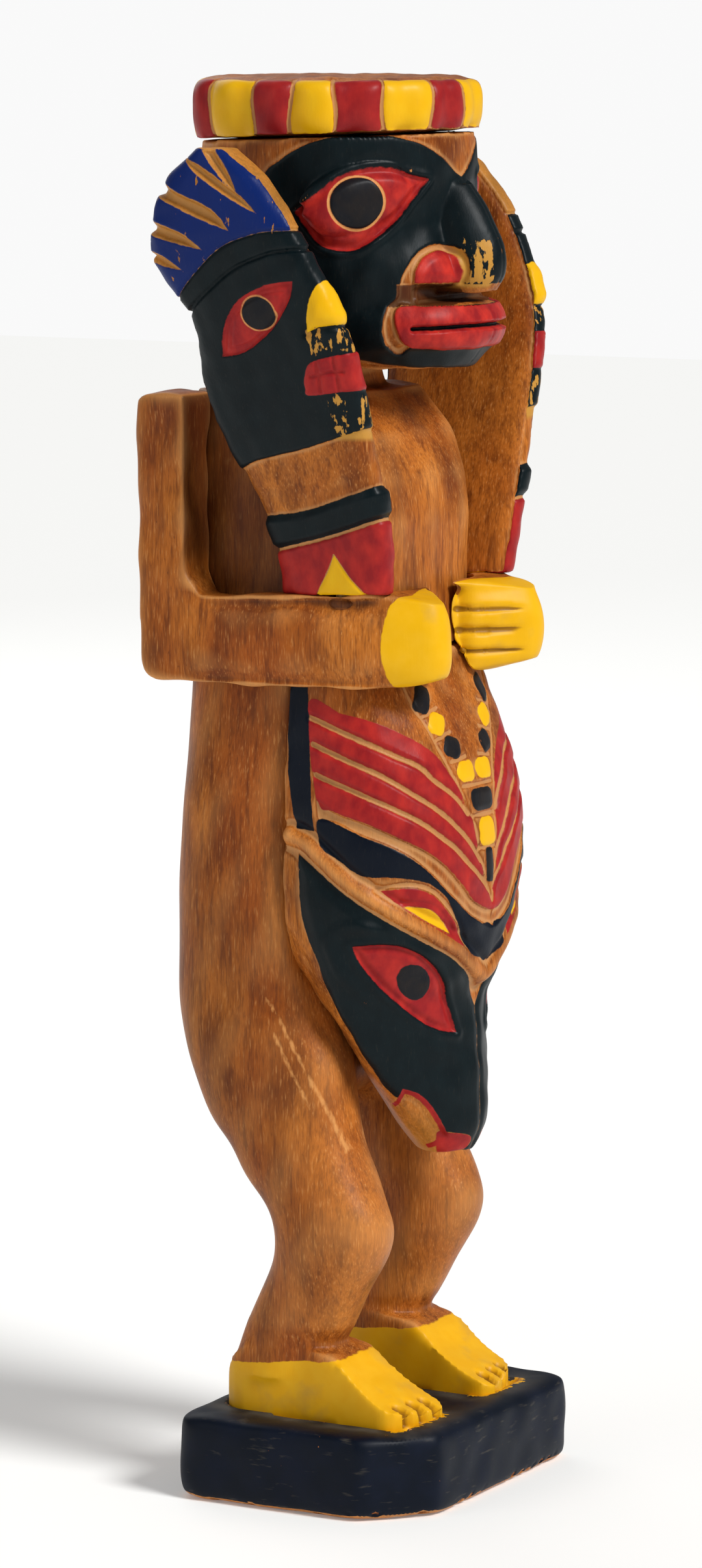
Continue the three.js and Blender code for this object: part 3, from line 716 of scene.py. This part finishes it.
def makeHead(look):
    low, high = boxOf("head")
    tall = high[2] - low[2]
    middle = (high[1] + low[1]) / 2 + look["axisBack"]
    carving = Carving("head", "carvedHead", look["voxel"], look["smoothing"],
                      look["keepEdge"], look["sharpAngle"],
                      lambda p: p.y < 18 and low[2] + 1 < p.z < high[2] - 1 and abs(p.x) > 0.01)
    angle, height, scale = around(carving.points, middle, look["radius"], low[2])
    flat = np.stack([np.abs(angle), height], 1) * scale
    across = flat[:, 0]
    black, eye = zone(flat, brow, scale), zone(flat, headEye, scale)
    hole, border = zone(flat, nostril, scale), zone(flat, nostrilBorder, scale)
    lip, lipWood = zone(flat, lips, scale), zone(flat, lipBorder, scale)
    slit = stroke(flat, [(0, 10.6), (16, 10.5), (32.5, 10.1)], scale)
    pupil = np.hypot(*(flat - np.array(look["pupilPlace"]) * scale).T) - look["pupilRadius"]
    outside = carving.normals[:, 2] < 0.85
    carving.points[:, 2] += look["neckLift"] * ease(height, tall - 9, tall - 4)
    amount = look["browRaise"] * ease(black, 0.6, -0.6)
    amount -= look["lidDepth"] * ease(eye, 0.25, -0.35) * ease(eye, -3.2, -0.6)
    amount += look["lidRim"] * swell(eye, 0.9, 0.8)
    amount -= look["pupilGroove"] * swell(pupil, 0.1, 0.35)
    amount -= look["borderDepth"] * ease(border, 0.3, -0.5) * ease(hole, -0.2, 0.5)
    amount += look["nostrilRaise"] * ease(hole, 0.3, -2.4)
    amount -= look["borderDepth"] * ease(lipWood, 0.3, -0.5) * ease(lip, -0.2, 0.5)
    amount += vee(slit, look["slitWidth"] * 1.3, look["slitDepth"])
    amount += look["hewn"] * ripple(carving.points, 9, 3)
    carving.push(amount * outside)
    carving.smooth(1, 0.35)
    mouth = np.maximum(height - look["mouthHigh"], look["mouthLow"] - height)
    inMouth = (mouth < 0) & (carving.points[:, 1] > low[1] + 8) & (across < look["mouthHalf"])
    bareWood = np.minimum(np.minimum(border, lipWood), np.maximum(mouth, across - look["mouthHalf"] + 2))
    black = np.maximum(black, -bareWood)
    red = np.minimum(np.minimum(eye, hole), lip)
    dark = np.minimum(pupil, slit - look["slitWidth"] * 0.36)
    inSlit = np.abs(slit) < look["slitWidth"] * 0.45
    scrape = ease(across, 8, 5) * ease(across, 1.2, 2.4) * ease(height, 35, 30) * ease(height, 19, 22)
    ring = np.maximum(pupil - 0.55, -pupil - 0.05)
    # Painted shade inside the mouth and down the slit between the lips
    carving.finish(carvedMaterial("paintedHead", warmth=0.9), (black, red, unpainted),
                   (unpainted, dark, ring), wear=look["noseWear"] * scrape,
                   paintedShade=1.0 * inMouth + 0.9 * inSlit)


# ---- Crown ----

crownLook = {
    "voxel": 0.7,
    "smoothing": 40,
    "radius": 36,
    "rimStart": 33.2,
    "slope": 0.072,
    "gap": 0.55,
    "notchDepth": 0.4,
    "bulge": 0.9,
    "corner": 1.2,
    "hewn": 0.12,
    "lift": 0.6,
}
crownJoints = [125, 96.5, 79.9, 62, 42.5, 20.1, 0.5, -24.2, -46, -68, -90, -112, -134, -157, -180, -207,
               -235]


def makeCrown(look):
    low, high = boxOf("crown")
    middle = (low[1] + high[1]) / 2
    carving = Carving("crown", "blockCrown", look["voxel"], look["smoothing"], 1.2, 70)
    angle = np.degrees(np.arctan2(-carving.points[:, 0], middle - carving.points[:, 1]))
    angle = angle + 0.7 * np.sin(carving.points[:, 2] * 0.35 + angle * 0.21)
    angle = np.where(angle > crownJoints[0], angle - 360, angle)
    joints = np.array(crownJoints[::-1])
    block = np.clip(np.searchsorted(joints, angle) - 1, 0, len(joints) - 2)
    start, end = joints[block], joints[block + 1]
    toMm = math.radians(look["radius"])
    across = np.minimum(angle - start, end - angle) * toMm
    half = (end - start) * toMm / 2
    radius = np.hypot(carving.points[:, 0], carving.points[:, 1] - middle)
    side = ease(radius, 29, 33)
    bottom = low[2] + 1.2 - (carving.points[:, 1] - middle) * look["slope"]
    up = carving.points[:, 2]
    crownMiddle, tall = (bottom + high[2]) / 2, (high[2] - bottom) / 2
    pillow = 1 - np.clip(1 - across / half, 0, 1) ** 3
    pillow = pillow * (1 - np.clip(np.abs(up - crownMiddle) / tall, 0, 1) ** 4)
    amount = (look["bulge"] * pillow - 0.5) * side
    amount += vee(across, look["gap"] * 2.6, look["notchDepth"]) * side
    amount += look["hewn"] * ripple(carving.points, 8, 5)
    carving.push(amount)
    carving.points[:, 2] += look["lift"]
    carving.write()
    corner = look["corner"]
    past = np.stack([look["gap"] + corner - across, np.abs(up - crownMiddle) - tall - 0.4 + corner])
    paintEdge = np.hypot(*np.maximum(past, 0)) + np.minimum(past.max(0), 0) - corner
    paintEdge = np.maximum(paintEdge, look["rimStart"] - radius)
    even = block % 2 == 0
    carving.finish(carvedMaterial("paintedCrown", coat=0.08, warmth=0.35),
                   (unpainted, np.where(even, paintEdge, unpainted), np.where(even, unpainted, paintEdge)))


# ---- Belly panel ----

bellyLook = {
    "voxel": 1.0,
    "smoothing": 22,
    "radius": 37,
    "grooveWidth": 2.6,
    "grooveDepth": 1.1,
    "gapDepth": 0.8,
    "columnDepth": 0.5,
    "ridgeRaise": 1.2,
    "ridgeWidth": 1.8,
    "underRidge": 0.9,
    "faceRaise": 0.5,
    "lidDepth": 0.8,
    "lidRim": 0.5,
    "browRaise": 1.2,
    "pupilPlace": (36.4, 45.6),
    "pupilRadius": 4.7,
    "pupilGroove": 0.25,
    "archDepth": 0.7,
    "coreGroove": 0.4,
    "beadGap": 0.6,
    "beadRaise": 0.3,
    "mouthDepth": 0.5,
    "hewn": 0.15,
    "snoutWear": 0.15,
}
stripeTop = [(80, 115), (65, 112.8), (54.2, 111.3), (40.1, 108), (28.4, 104.6), (19.9, 100.7),
    (11.8, 93)]
columnEdge = [(38, 119), (33.2, 113.8), (28, 110.2), (20.9, 104.2), (14.4, 97.3), (9.6, 89),
    (7.7, 85.6), (6, 78.5), (2.4, 69.1), (0, 64)]
stripeLines = [
    [(79, 111.4), (60.2, 107.3), (42.6, 103), (29.9, 99.5), (20.7, 94.9), (13.3, 90.2), (9.9, 87)],
    [(77.2, 105), (61.7, 101.5), (45.8, 97.6), (32, 92.3), (24.1, 88.7), (18.2, 85.2), (10.4, 79.5),
     (5.2, 75)],
    [(75.4, 97.6), (62.7, 95), (51.5, 92.2), (40.5, 89), (30.9, 85.4), (20, 79.7), (10.8, 73.8),
     (4, 69.4), (1.5, 67.4)],
]
stripeBottom = [(74.2, 91.5), (67.6, 89), (54.2, 86.3), (42.1, 82.7), (31.8, 79), (23.6, 74.7),
    (16.9, 69.3), (11.6, 65.1), (4.9, 62.6), (0, 61.8)]
bandTop = [(73.7, 86.5), (66, 86), (56, 83.2), (46, 80.6), (37, 77), (28.6, 71.8), (22.9, 67.2),
    (14.5, 61.5), (8, 59), (0, 57.5)]
bandBottom = [(0, 49), (5, 49.6), (12, 51.6), (17, 56), (21.2, 60.6), (24.8, 66.4), (29, 69.6),
    (34.3, 71.6), (45, 72.9), (56.4, 73.2), (64.7, 76.5), (72.9, 80.4)]
sideStrip = [(81, 122), (81, 122), (79, 108), (77, 94), (75.4, 83.5), (75.4, 83.5), (84, 84), (84, 84),
    (87.6, 97), (89.6, 110), (91, 122), (91, 122)]
ridgeLine = [(86, 82), (78.5, 80), (71, 76), (62, 71), (54.5, 67.5), (42, 61.8), (30, 57), (20, 53),
    (11, 48.6), (5, 46), (0, 44.6)]
beastFace = [(82.5, 78), (82.5, 78), (69.7, 72), (54.4, 64.3), (38.6, 57.3), (23.5, 51.8), (14, 47.6),
    (8.2, 44.4), (4, 40.5), (0, 37), (0, 37), (0, -2), (0, -2), (8, 3), (20.5, 6.1), (31.8, 13.8),
    (41.5, 16.2), (52, 23), (62, 32.7), (70.7, 42.7), (74.5, 51), (81, 61.6)]
beastEye = [(61.2, 55.6), (61.2, 55.6), (50.2, 56), (40.9, 54.6), (31.5, 50.8), (21, 43.2),
    (12.4, 31.1), (12.4, 31.1), (22.1, 32.4), (33.2, 35.9), (46, 42.1), (53.6, 46.9), (58.7, 51.5)]
archZone = [(50, 69.4), (50, 69.4), (38.6, 70), (30.4, 67.6), (23.6, 61.6), (16, 53.4), (16, 53.4),
    (24, 56.6), (36, 61.6), (44, 65.8)]
archCore = [(42, 65.2), (42, 65.2), (33.1, 64.4), (27.6, 60.8), (24.4, 57.6), (24.4, 57.6), (33, 60.8)]
mouthLine = [(41, 12), (41, 12), (38, 18), (38, 18), (31, 16.4), (24, 12.4), (15.4, 4.6), (15.4, 4.6),
    (20, 0.6), (20, 0.6), (32, 6)]
noseDisc = [(19.9, 5.6), (11.6, 5.6), (4.5, 4.2), (3.4, 1), (8, -1), (14, -0.6)]
feathersLean = [  # height, degrees that the middle line stands to the left
    (50, 0), (60, 0.3), (67, 2.5), (73.5, 4.2), (82, 5.3), (90, 6.6), (97, 8.2), (103, 6.7), (109, 4.3),
    (115, 1.8), (125, 0)]
beads = [  # degrees round, height, half across, half along, tilt, paint
    (27.8, 115.4, 3.2, 3.3, 20, "ink"),
    (20.2, 109.2, 3.2, 2.5, 18, "yellow"),
    (12.6, 103.4, 3.1, 2.5, 18, "ink"),
    (6.2, 97.3, 3.6, 2.5, 0, "yellow"),
    (0, 90, 4.6, 2.8, 0, "ink"),
    (0, 81.9, 3.4, 3.6, 0, "yellow"),
    (0, 73.4, 1.5, 4.4, 0, "ink"),
]
beadCuts = [[(28, 111.4), (19, 112.9)], [(21, 105.6), (12, 107)], [(14, 100), (5, 100.8)],
            [(0, 93.8), (10, 93.8)], [(0, 86.2), (7.6, 86.2)], [(0, 77.9), (5.6, 77.9)]]


def makeBelly(look):
    low, high = boxOf("belly_panel")
    middle = high[1]
    carving = Carving("belly_panel", "featherPanel", look["voxel"], look["smoothing"], 1.5, 40,
                      lambda p: abs(p.x) + max(0, -p.y) > 29 or p.y < -20)
    angle, height, scale = around(carving.points, middle, look["radius"], low[2])
    lean = np.interp(height, *zip(*feathersLean))
    angle = angle - lean * np.clip((80 - np.abs(angle)) / 50, 0, 1)
    flat = np.stack([np.abs(angle), height], 1) * scale
    stripes = stripeTop + [p for p in columnEdge if p[1] < 92] + stripeBottom[::-1]
    red = zone(flat, stripes, scale)
    lines = [stroke(flat, line, scale) for line in stripeLines]
    groove = np.min(lines, axis=0)
    column = stroke(flat, columnEdge, scale)
    band = zone(flat, bandTop + bandBottom, scale)
    strip = zone(flat, sideStrip, scale)
    ridge = stroke(flat, ridgeLine, scale)
    face, eye = zone(flat, beastFace, scale), zone(flat, beastEye, scale)
    arch, core = zone(flat, archZone, scale), zone(flat, archCore, scale)
    mouth, disc = zone(flat, mouthLine, scale), zone(flat, noseDisc, scale)
    # The pupil is drawn as an oval on the slope, so that it looks round from the side
    across, up = (flat - np.array(look["pupilPlace"]) * scale).T
    pupil = np.hypot((up + across) / 1.7, (up - across) / 1.2) - look["pupilRadius"]
    cuts = np.min([stroke(flat, cut, scale) for cut in beadCuts], axis=0)
    beadZones = {paint: np.full(len(flat), float(unpainted)) for paint in ("ink", "yellow")}
    for degrees, up, across, along, tilt, paint in beads:
        place, corner = np.array([degrees, up]) * scale, min(2.2, across * 0.6)
        bead = roundedBox(flat, place, (across, along), tilt, corner)
        beadZones[paint] = np.minimum(beadZones[paint], bead)
    allBeads = np.minimum(beadZones["ink"], beadZones["yellow"])
    gap = zone(flat, stripeBottom + bandTop[::-1], scale)
    fromAxis = np.stack([carving.points[:, 0], carving.points[:, 1] - middle, 0 * height], 1)
    outer = ease((carving.normals * fromAxis).sum(1), 0, 8)
    inStripes = ease(red, 0.2, -0.8)
    amount = vee(groove, look["grooveWidth"], look["grooveDepth"]) * inStripes
    amount -= look["gapDepth"] * ease(gap, 0.2, -0.8)
    amount += vee(column, 1.6, look["columnDepth"]) * ease(height, 60, 66)
    amount += look["ridgeRaise"] * swell(ridge, 0, look["ridgeWidth"])
    amount -= look["underRidge"] * swell(ridge, 3.4, 1.2) * ease(face, -0.5, 0.8)
    amount += look["faceRaise"] * ease(face, 0.3, -2)
    amount -= look["lidDepth"] * ease(eye, 0.2, -0.4) * ease(eye, -2.6, -0.5)
    amount += look["lidRim"] * swell(eye, 1.0, 1.0)
    amount += look["browRaise"] * swell(eye, 5.0, 2.4) * ease(face, -1, -4) * ease(height, 38, 50)
    amount -= look["pupilGroove"] * swell(pupil, 0.1, 0.35)
    amount -= look["archDepth"] * swell(arch, 0.9, 0.7) * ease(ridge, 1.5, 3)
    amount += vee(core - 1.4, 1.4, look["coreGroove"]) * ease(arch, 0, -1)
    amount -= look["beadGap"] * ease(cuts, 0.9, 0) * ease(allBeads, -0.1, 0.3)
    amount += look["beadRaise"] * ease(allBeads, 0.3, -1.2)
    amount -= look["mouthDepth"] * ease(mouth, 0.2, -0.8)
    amount += look["hewn"] * ripple(carving.points, 9, 8)
    carving.push(amount * outer)
    carving.smooth(1, 0.35)
    red = np.maximum(red, look["grooveWidth"] * 0.27 - groove)
    red = np.maximum(red, 0.5 - column)
    ring = np.maximum(mouth - 0.2, -mouth - 1.1)
    red = np.minimum.reduce([red, eye, np.maximum(arch, 0.2 - core), ring, disc])
    navy = np.minimum(band, strip)
    face = np.maximum(face, -np.minimum(mouth, disc))
    yellow, ink = np.minimum(core, beadZones["yellow"]), np.minimum(pupil, beadZones["ink"])
    hide = (1 - outer) * unpainted - unpainted / 2
    face, red, yellow, navy, ink = [np.maximum(z, hide) for z in (face, red, yellow, navy, ink)]
    carving.finish(carvedMaterial("paintedBelly", blue="navy"), (face, red, yellow),
                   (navy, ink, unpainted), wear=look["snoutWear"] * ease(height, 30, 0))


# ---- Face boards ----

boardLook = {
    "voxel": 0.75,
    "smoothing": 14,
    "leafDepth": 1.4,
    "blueGroove": 0.7,
    "bandGroove": 0.9,
    "lidDepth": 0.7,
    "lidGroove": 0.35,
    "pupilPlace": (0.6, 70),
    "pupilHalf": (4.5, 4.0),
    "noseRaise": 0.8,
    "lipRaise": 0.45,
    "toothGroove": 0.6,
    "faceRaise": 0.8,
    "bandRaise": 1.3,
    "skirtRaise": 0.7,
    "bellGroove": 0.3,
    "hewn": 0.12,
    "scrapeWear": 0.42,
    "faceWear": 0.16,
}
boardBlueEdge = [(26, 70.6), (22.3, 74.6), (17.4, 79.2), (9.5, 85.6), (0.9, 88.8), (-5.4, 89.8),
    (-16, 90)]
boardBandEdge = [(26, 64.5), (20.4, 70.2), (14.4, 74.9), (7.2, 80.1), (-0.1, 83.3), (-6.7, 85),
    (-18, 85.6)]
fanLeaves = [
    [(20.6, 107), (20.6, 107), (15, 105), (8, 101), (3, 97.6), (-0.7, 93.9), (-0.7, 93.9), (3, 95.6),
     (9, 98.8), (15, 102.4), (18, 104.6), (18, 104.6)],
    [(27.4, 101.4), (27.4, 101.4), (20, 98.2), (13, 95.6), (9, 92.8), (6.7, 89.7), (6.7, 89.7),
     (12, 91.4), (20, 94.4), (28.6, 97.8), (28.6, 97.8)],
    [(31, 92), (31, 92), (24, 90.2), (19, 88.4), (14.3, 84.9), (14.3, 84.9), (20, 86), (25, 87),
     (31, 88.6), (31, 88.6)],
    [(32, 84.6), (32, 84.6), (26, 83.2), (20.7, 80), (20.7, 80), (26, 80.8), (32, 82.2), (32, 82.2)],
    [(12, 109), (12, 109), (9, 105.6), (6.2, 102), (4.6, 98.8), (4.6, 98.8), (8.4, 101.6), (12, 105),
     (15, 108.6), (15, 108.6)],
]
boardEye = [(12.8, 59), (12.8, 59), (10.9, 66.3), (6.3, 72.6), (-0.4, 76.2), (-4.5, 77.4), (-9.4, 77.9),
    (-9.4, 77.9), (-8, 73), (-3.1, 66.7), (3.4, 61.8), (8, 59.8)]
boardNose = [(-17, 80.4), (-17, 80.4), (-13.4, 74), (-11.6, 65.4), (-11.6, 65.4), (-16, 67.2),
    (-24, 67.6), (-24, 67.6), (-24, 80)]
boardLips = [(-9.2, 54.4), (-11, 57.9), (-14.4, 59.4), (-24, 61.4), (-24, 61.4), (-24, 51.8),
    (-24, 51.8), (-17, 51.2), (-9.7, 50.4), (-9.2, 52)]
boardTeeth = [[(-11, 55), (-15, 55.9), (-19, 56.2)], [(-13.2, 51.5), (-13, 58.5)],
              [(-17.6, 51.6), (-17.2, 60)]]
neckEdge = [(16, 30), (8, 33.4), (-5.6, 36.8), (-16.2, 40.2), (-26, 43.6)]
neckBand = [(14, 17.6), (-2.5, 21.1), (-13.5, 24.7), (-26, 29.2), (-26, 29.2), (-26, 21.2), (-26, 21.2),
    (-8.5, 15.2), (14, 9.4), (14, 9.4)]
skirtBell = [(-9.4, 10.6), (-9.4, 10.6), (-7.2, 6.2), (-2.6, -1), (-2.6, -1), (-18.4, -1), (-18.4, -1),
    (-12.4, 6)]


def belowLine(flat, line):
    order = np.array(sorted(line))
    run = flow(order)
    run = run[np.argsort(run[:, 0])]
    distance = lineDistance(flat, run, margin=40.0)
    return np.where(flat[:, 1] < np.interp(flat[:, 0], run[:, 0], run[:, 1]), -distance, distance)


def makeBoard(look, side):
    name = {-1: "right", 1: "left"}[side]
    node = name + "_face_board"
    foot = boxOf(node)[0][2]
    carving = Carving(node, name + "FaceBoard", look["voxel"], look["smoothing"], 1.5, 40, lambda p: True)
    points = carving.points
    flat = np.stack([points[:, 1], points[:, 2] - foot], 1)
    outward = carving.normals[:, 0] * side
    outer = ease(outward, 0.15, 0.6)
    edge = ease(outward, -0.75, -0.45)
    blueLine, bandLine = belowLine(flat, boardBlueEdge), belowLine(flat, boardBandEdge)
    leaves = np.min([zone(flat, leaf) for leaf in fanLeaves], axis=0)
    eye, nose, lip = zone(flat, boardEye), zone(flat, boardNose), zone(flat, boardLips)
    pupil = (np.hypot(*((flat - look["pupilPlace"]) / look["pupilHalf"]).T) - 1) * 3.8
    neck, band, bell = belowLine(flat, neckEdge), zone(flat, neckBand), zone(flat, skirtBell)
    skirt = belowLine(flat, [(14, 8.8), (-8.5, 14.4), (-26, 20.4)])
    lipCuts = np.min([stroke(flat, cut) for cut in boardTeeth], axis=0)
    lid = zone(flat, [(0.6 + (y - 0.6) * 0.74, 68.4 + (z - 68.4) * 0.74) for y, z in boardEye])
    amount = -look["leafDepth"] * ease(leaves, 0.2, -1.5)
    amount += vee(np.abs(blueLine) + 0.1, 1.4, look["blueGroove"])
    amount += vee(np.abs(bandLine), 1.6, look["bandGroove"])
    amount -= look["lidDepth"] * ease(eye, 0.2, -0.4) * ease(eye, -2.4, -0.5)
    amount += vee(lid, 0.9, look["lidGroove"]) * ease(eye, 0, -0.6)
    amount += look["noseRaise"] * ease(nose, 0.6, -2.5)
    amount -= look["noseRaise"] * swell(nose, 0.5, 0.7) * ease(flat[:, 1], 70, 66)
    amount += look["lipRaise"] * ease(lip, 0.3, -0.6)
    amount += vee(lipCuts, 1.1, look["toothGroove"]) * ease(lip, 0.2, -0.3)
    amount += look["faceRaise"] * ease(neck, -0.6, 0.8) - 0.3
    amount += look["bandRaise"] * ease(band, 0.4, -1.8)
    amount += look["skirtRaise"] * ease(skirt, 0.4, -0.6)
    amount += vee(bell, 0.9, look["bellGroove"])
    amount += look["hewn"] * ripple(points, 8, 11)
    carving.push(amount * edge)
    carving.smooth(1, 0.35)
    leafed = np.maximum(-blueLine, -leaves)
    face = np.maximum(blueLine, -neck)
    black = np.minimum(face, band)
    blue = np.maximum(leafed, (0.5 - outer) * 4)
    red = np.minimum(np.minimum(eye, lip), np.maximum(skirt, 0.2 - bell))
    yellow = np.minimum(nose, np.maximum(bell, skirt))
    hide = (0.5 - edge) * 6
    ring = np.maximum(pupil - 0.35, -pupil)
    scrape = ease(flat[:, 0], -11, -16) * ease(np.abs(flat[:, 1] - 45), 7, 4)
    scrape += ease(flat[:, 0], -9, -13) * ease(np.abs(flat[:, 1] - 64), 5, 2)
    black, red, yellow, pupil, ring = [np.maximum(z, hide) for z in (black, red, yellow, pupil, ring)]
    wear = look["scrapeWear"] * scrape * (lip > 0) + look["faceWear"] * (blueLine > 0)
    carving.finish(carvedMaterial(name + "PaintedBoard"), (black, red, yellow),
                   (blue, pupil, ring), wear=wear * edge)


# ---- Arms, body and plinth ----

armLook = {
    "voxel": 0.7,
    "smoothing": 12,
    "forearm": 21.5,
    "round": 3.2,
    "fingerLevel": 2.2,
    "thumbLevel": 1.2,
    "tipBack": 3.6,
    "tipRound": {-1: 2.2, 1: 0.4},
    "handSmoothing": 34,
    "armSmoothing": 0.28,
    "fingerDepth": 1.4,
    "fingerWidth": 2.2,
    "hewn": 0.25,
    # painted shade in the recess beside the trunk
    "recessPaintedShade": 0.9,
}
bodyLook = {
    "voxel": 1.1,
    "smoothing": 10,
    "legSmoothing": 70,
    "ankle": 37.2,
    "toeDepth": 2.1,
    "toeWidth": 3.4,
    "toePitch": 5.4,
    "footMiddle": 21.5,
    "toeDrop": 0.28,
    "toeBack": 3.2,
    "hewn": 0.22,
    # painted shade in the recess under the arms and on the backs of the thighs
    "recessPaintedShade": 0.8,
    "thighPaintedShade": 0.28,
    "scratchHalf": 0.3,
}
thighScratches = [[(11.4, 127.6), (7.2, 120.9), (0.1, 107.5), (-7.8, 89.8)],
                  [(9, 119), (4.5, 110), (-1, 99)]]
plinthLook = {
    "voxel": 0.8,
    "smoothing": 60,
    "footMiddle": 21.5,
    "topRaise": 2.2,
    "dish": 0.7,
    "chip": 1.0,
    "hewn": 0.14,
}


def makeArm(look, side):
    name = {-1: "right", 1: "left"}[side]
    bottom = boxOf(name + "_arm")[0][2]
    carving = Carving(name + "_arm", name + "CarvedArm", look["voxel"], look["smoothing"], 1.8, 40)
    points = carving.points
    x, y, z = np.abs(points[:, 0]), points[:, 1], points[:, 2] - bottom
    onHand = ease(y, -16, -21)
    forearm = ease(y, 34, 22) * ease(z, look["forearm"] + 4, look["forearm"])
    up = np.clip(np.abs(z / (look["forearm"] / 2) - 1), 0, 1)
    level = np.abs(carving.normals[:, 2])
    amount = -look["round"] * up ** 4 * (1 - level) * forearm
    amount -= look["fingerLevel"] * level * onHand * ease(y, -20, -36)
    amount -= look["thumbLevel"] * level * onHand * ease(x, 12, 5)
    amount -= look["tipBack"] * (1 - level) * onHand * ease(x, 9, 5)
    amount += look["tipRound"][side] * np.minimum(carving.normals[:, 1], 0) * onHand * ease(x, 15, 7)
    carving.push(amount)
    carving.smooth(look["handSmoothing"], np.maximum(look["armSmoothing"], onHand))
    pitch = look["forearm"] / 4
    slot = np.min([np.abs(z - pitch * k) for k in (1, 2, 3)], axis=0)
    taper = ease(x, 20, 12) * 0.7 + 0.3
    amount = vee(slot, look["fingerWidth"] * taper, look["fingerDepth"]) * ease(x, 21, 17) * onHand
    amount += look["hewn"] * ripple(carving.points, 14, 21)
    carving.push(amount)
    carving.smooth(2, 0.4)
    glove = y + 20.4 + ((z - 11) / 9) ** 2 * 1.6 - np.maximum(0, 24 - x) * 0.3
    # Painted shade on the upper arm's forward faces, in the recess beside the trunk
    recessShade = ease(carving.normals[:, 1], -0.5, -0.8) * ease(z, 24, 34)
    carving.finish(limbMaterial(name + "ArmWood", "yellow"), (unpainted, unpainted, glove),
                   paintedShade=look["recessPaintedShade"] * recessShade)


def makeBody(look):
    sole = boxOf("body")[0][2]
    carving = Carving("body", "carvedBody", look["voxel"], look["smoothing"], 1.6, 30,
                      lambda p: p.z < sole + 24)
    height = carving.points[:, 2]
    carving.smooth(look["legSmoothing"], ease(height, 42, 56) * ease(height, 212, 196))
    points = carving.points
    x, y, z = np.abs(points[:, 0]), points[:, 1].copy(), points[:, 2].copy()
    low = ease(z, sole + 20, sole + 14)
    points[:, 2] -= (z - sole) * look["toeDrop"] * low * ease(y, 2, -24)
    points[:, 1] += look["toeBack"] * ease(y, -6, -27) * low * (0.5 + 0.5 * ease(x, 16, 32))
    carving.write()
    toes = ease(y, -18, -25) * ease(z, sole + 10, sole + 7) * ease(z, sole, sole + 2)
    gaps = np.min([np.abs(x - look["footMiddle"] - look["toePitch"] * k) for k in (-1, 0, 1)], axis=0)
    amount = vee(gaps, look["toeWidth"], look["toeDepth"]) * toes
    amount += look["hewn"] * ripple(points, 16, 31)
    carving.push(amount)
    paintLine = z - look["ankle"] + 0.13 * np.maximum(y - 2, 0) + 1.2 * ease(y, -6, 0)
    # Painted shade on the trunk's sides under the arms and on the backs of the thighs
    recessShade = ease(y, -13, 3) * ease(x, 20, 26) * ease(z, 223, 231)
    thighShade = ease(z, 70, 95) * ease(z, 170, 135) * ease(y, -8, 12)
    scratch = np.min([stroke(points[:, [1, 2]], line) for line in thighScratches], axis=0)
    scratch = np.where(points[:, 0] < -15, scratch - look["scratchHalf"], unpainted)
    carving.finish(limbMaterial("bodyWood"), (unpainted, unpainted, paintLine),
                   (unpainted, unpainted, scratch),
                   paintedShade=np.maximum(look["recessPaintedShade"] * recessShade, look["thighPaintedShade"] * thighShade))


def makePlinth(look):
    high = boxOf("plinth")[1]
    carving = Carving("plinth", "paintedPlinth", look["voxel"], look["smoothing"], 2.4, 30, crisp=0.7)
    points = carving.points
    x, y, z = points.T
    inner = np.maximum(np.abs(x) - high[0], np.abs(y) - high[1])
    top = carving.normals[:, 2] > 0.6
    onFoot = np.stack([np.abs(x) - look["footMiddle"], y], 1)
    feet = np.minimum(roundedBox(onFoot, (0, -6.4), (10.7, 19), 0, 3),
                      roundedBox(onFoot, (0, 10), (9.2, 18.9), 0, 9))
    amount = -look["dish"] * ease(inner, -3, -14) * top * ease(feet, -1, 3)
    # The top rises round the feet, which stand in shallow beds
    points[:, 2] += look["topRaise"] * ease(z, high[2] - 10, high[2] - 2) * ease(feet, 0, 0.7)
    chips = ease(ripple(points, 5, 41), 0.5, 1.3) * ease(z, 3.2, 0.4)
    amount -= look["chip"] * chips
    amount += look["hewn"] * ripple(points, 12, 43)
    carving.push(amount)
    carving.points[:, 2] = np.maximum(carving.points[:, 2], 0)
    carving.write()
    bare = np.where(carving.normals[:, 2] < -0.6, -2, z - 0.1 - 2.6 * chips)
    slop = np.where(top, feet + 0.5 - 1.9 * ease(y, -14, -26), unpainted)
    dust = ease(feet, 9, 1) * top
    carving.finish(plinthMaterial("wornPlinth"), (bare, dust, slop))


def dressFasteners():
    wood = plainMaterial("dowelWood", paintColour(200, 160, 108), paintColour(170, 124, 76), 0.55)
    steel = plainMaterial("screwSteel", (0.5, 0.5, 0.5, 1), (0.4, 0.4, 0.4, 1), 0.3, 1.0)
    for name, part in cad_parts.items():
        if name.endswith(("dowel", "peg", "pin", "upper", "lower")):
            look = wood
        elif name.endswith("screw"):
            look = steel
        else:
            continue
        for holder in part.material_slots:
            holder.link = "OBJECT"
            holder.material = look


makePlinth(plinthLook)
makeBody(bodyLook)
for side in (-1, 1):
    makeArm(armLook, side)
    makeBoard(boardLook, side)
makeBelly(bellyLook)
makeHead(headLook)
makeCrown(crownLook)
dressFasteners()
print("fasteners dressed")
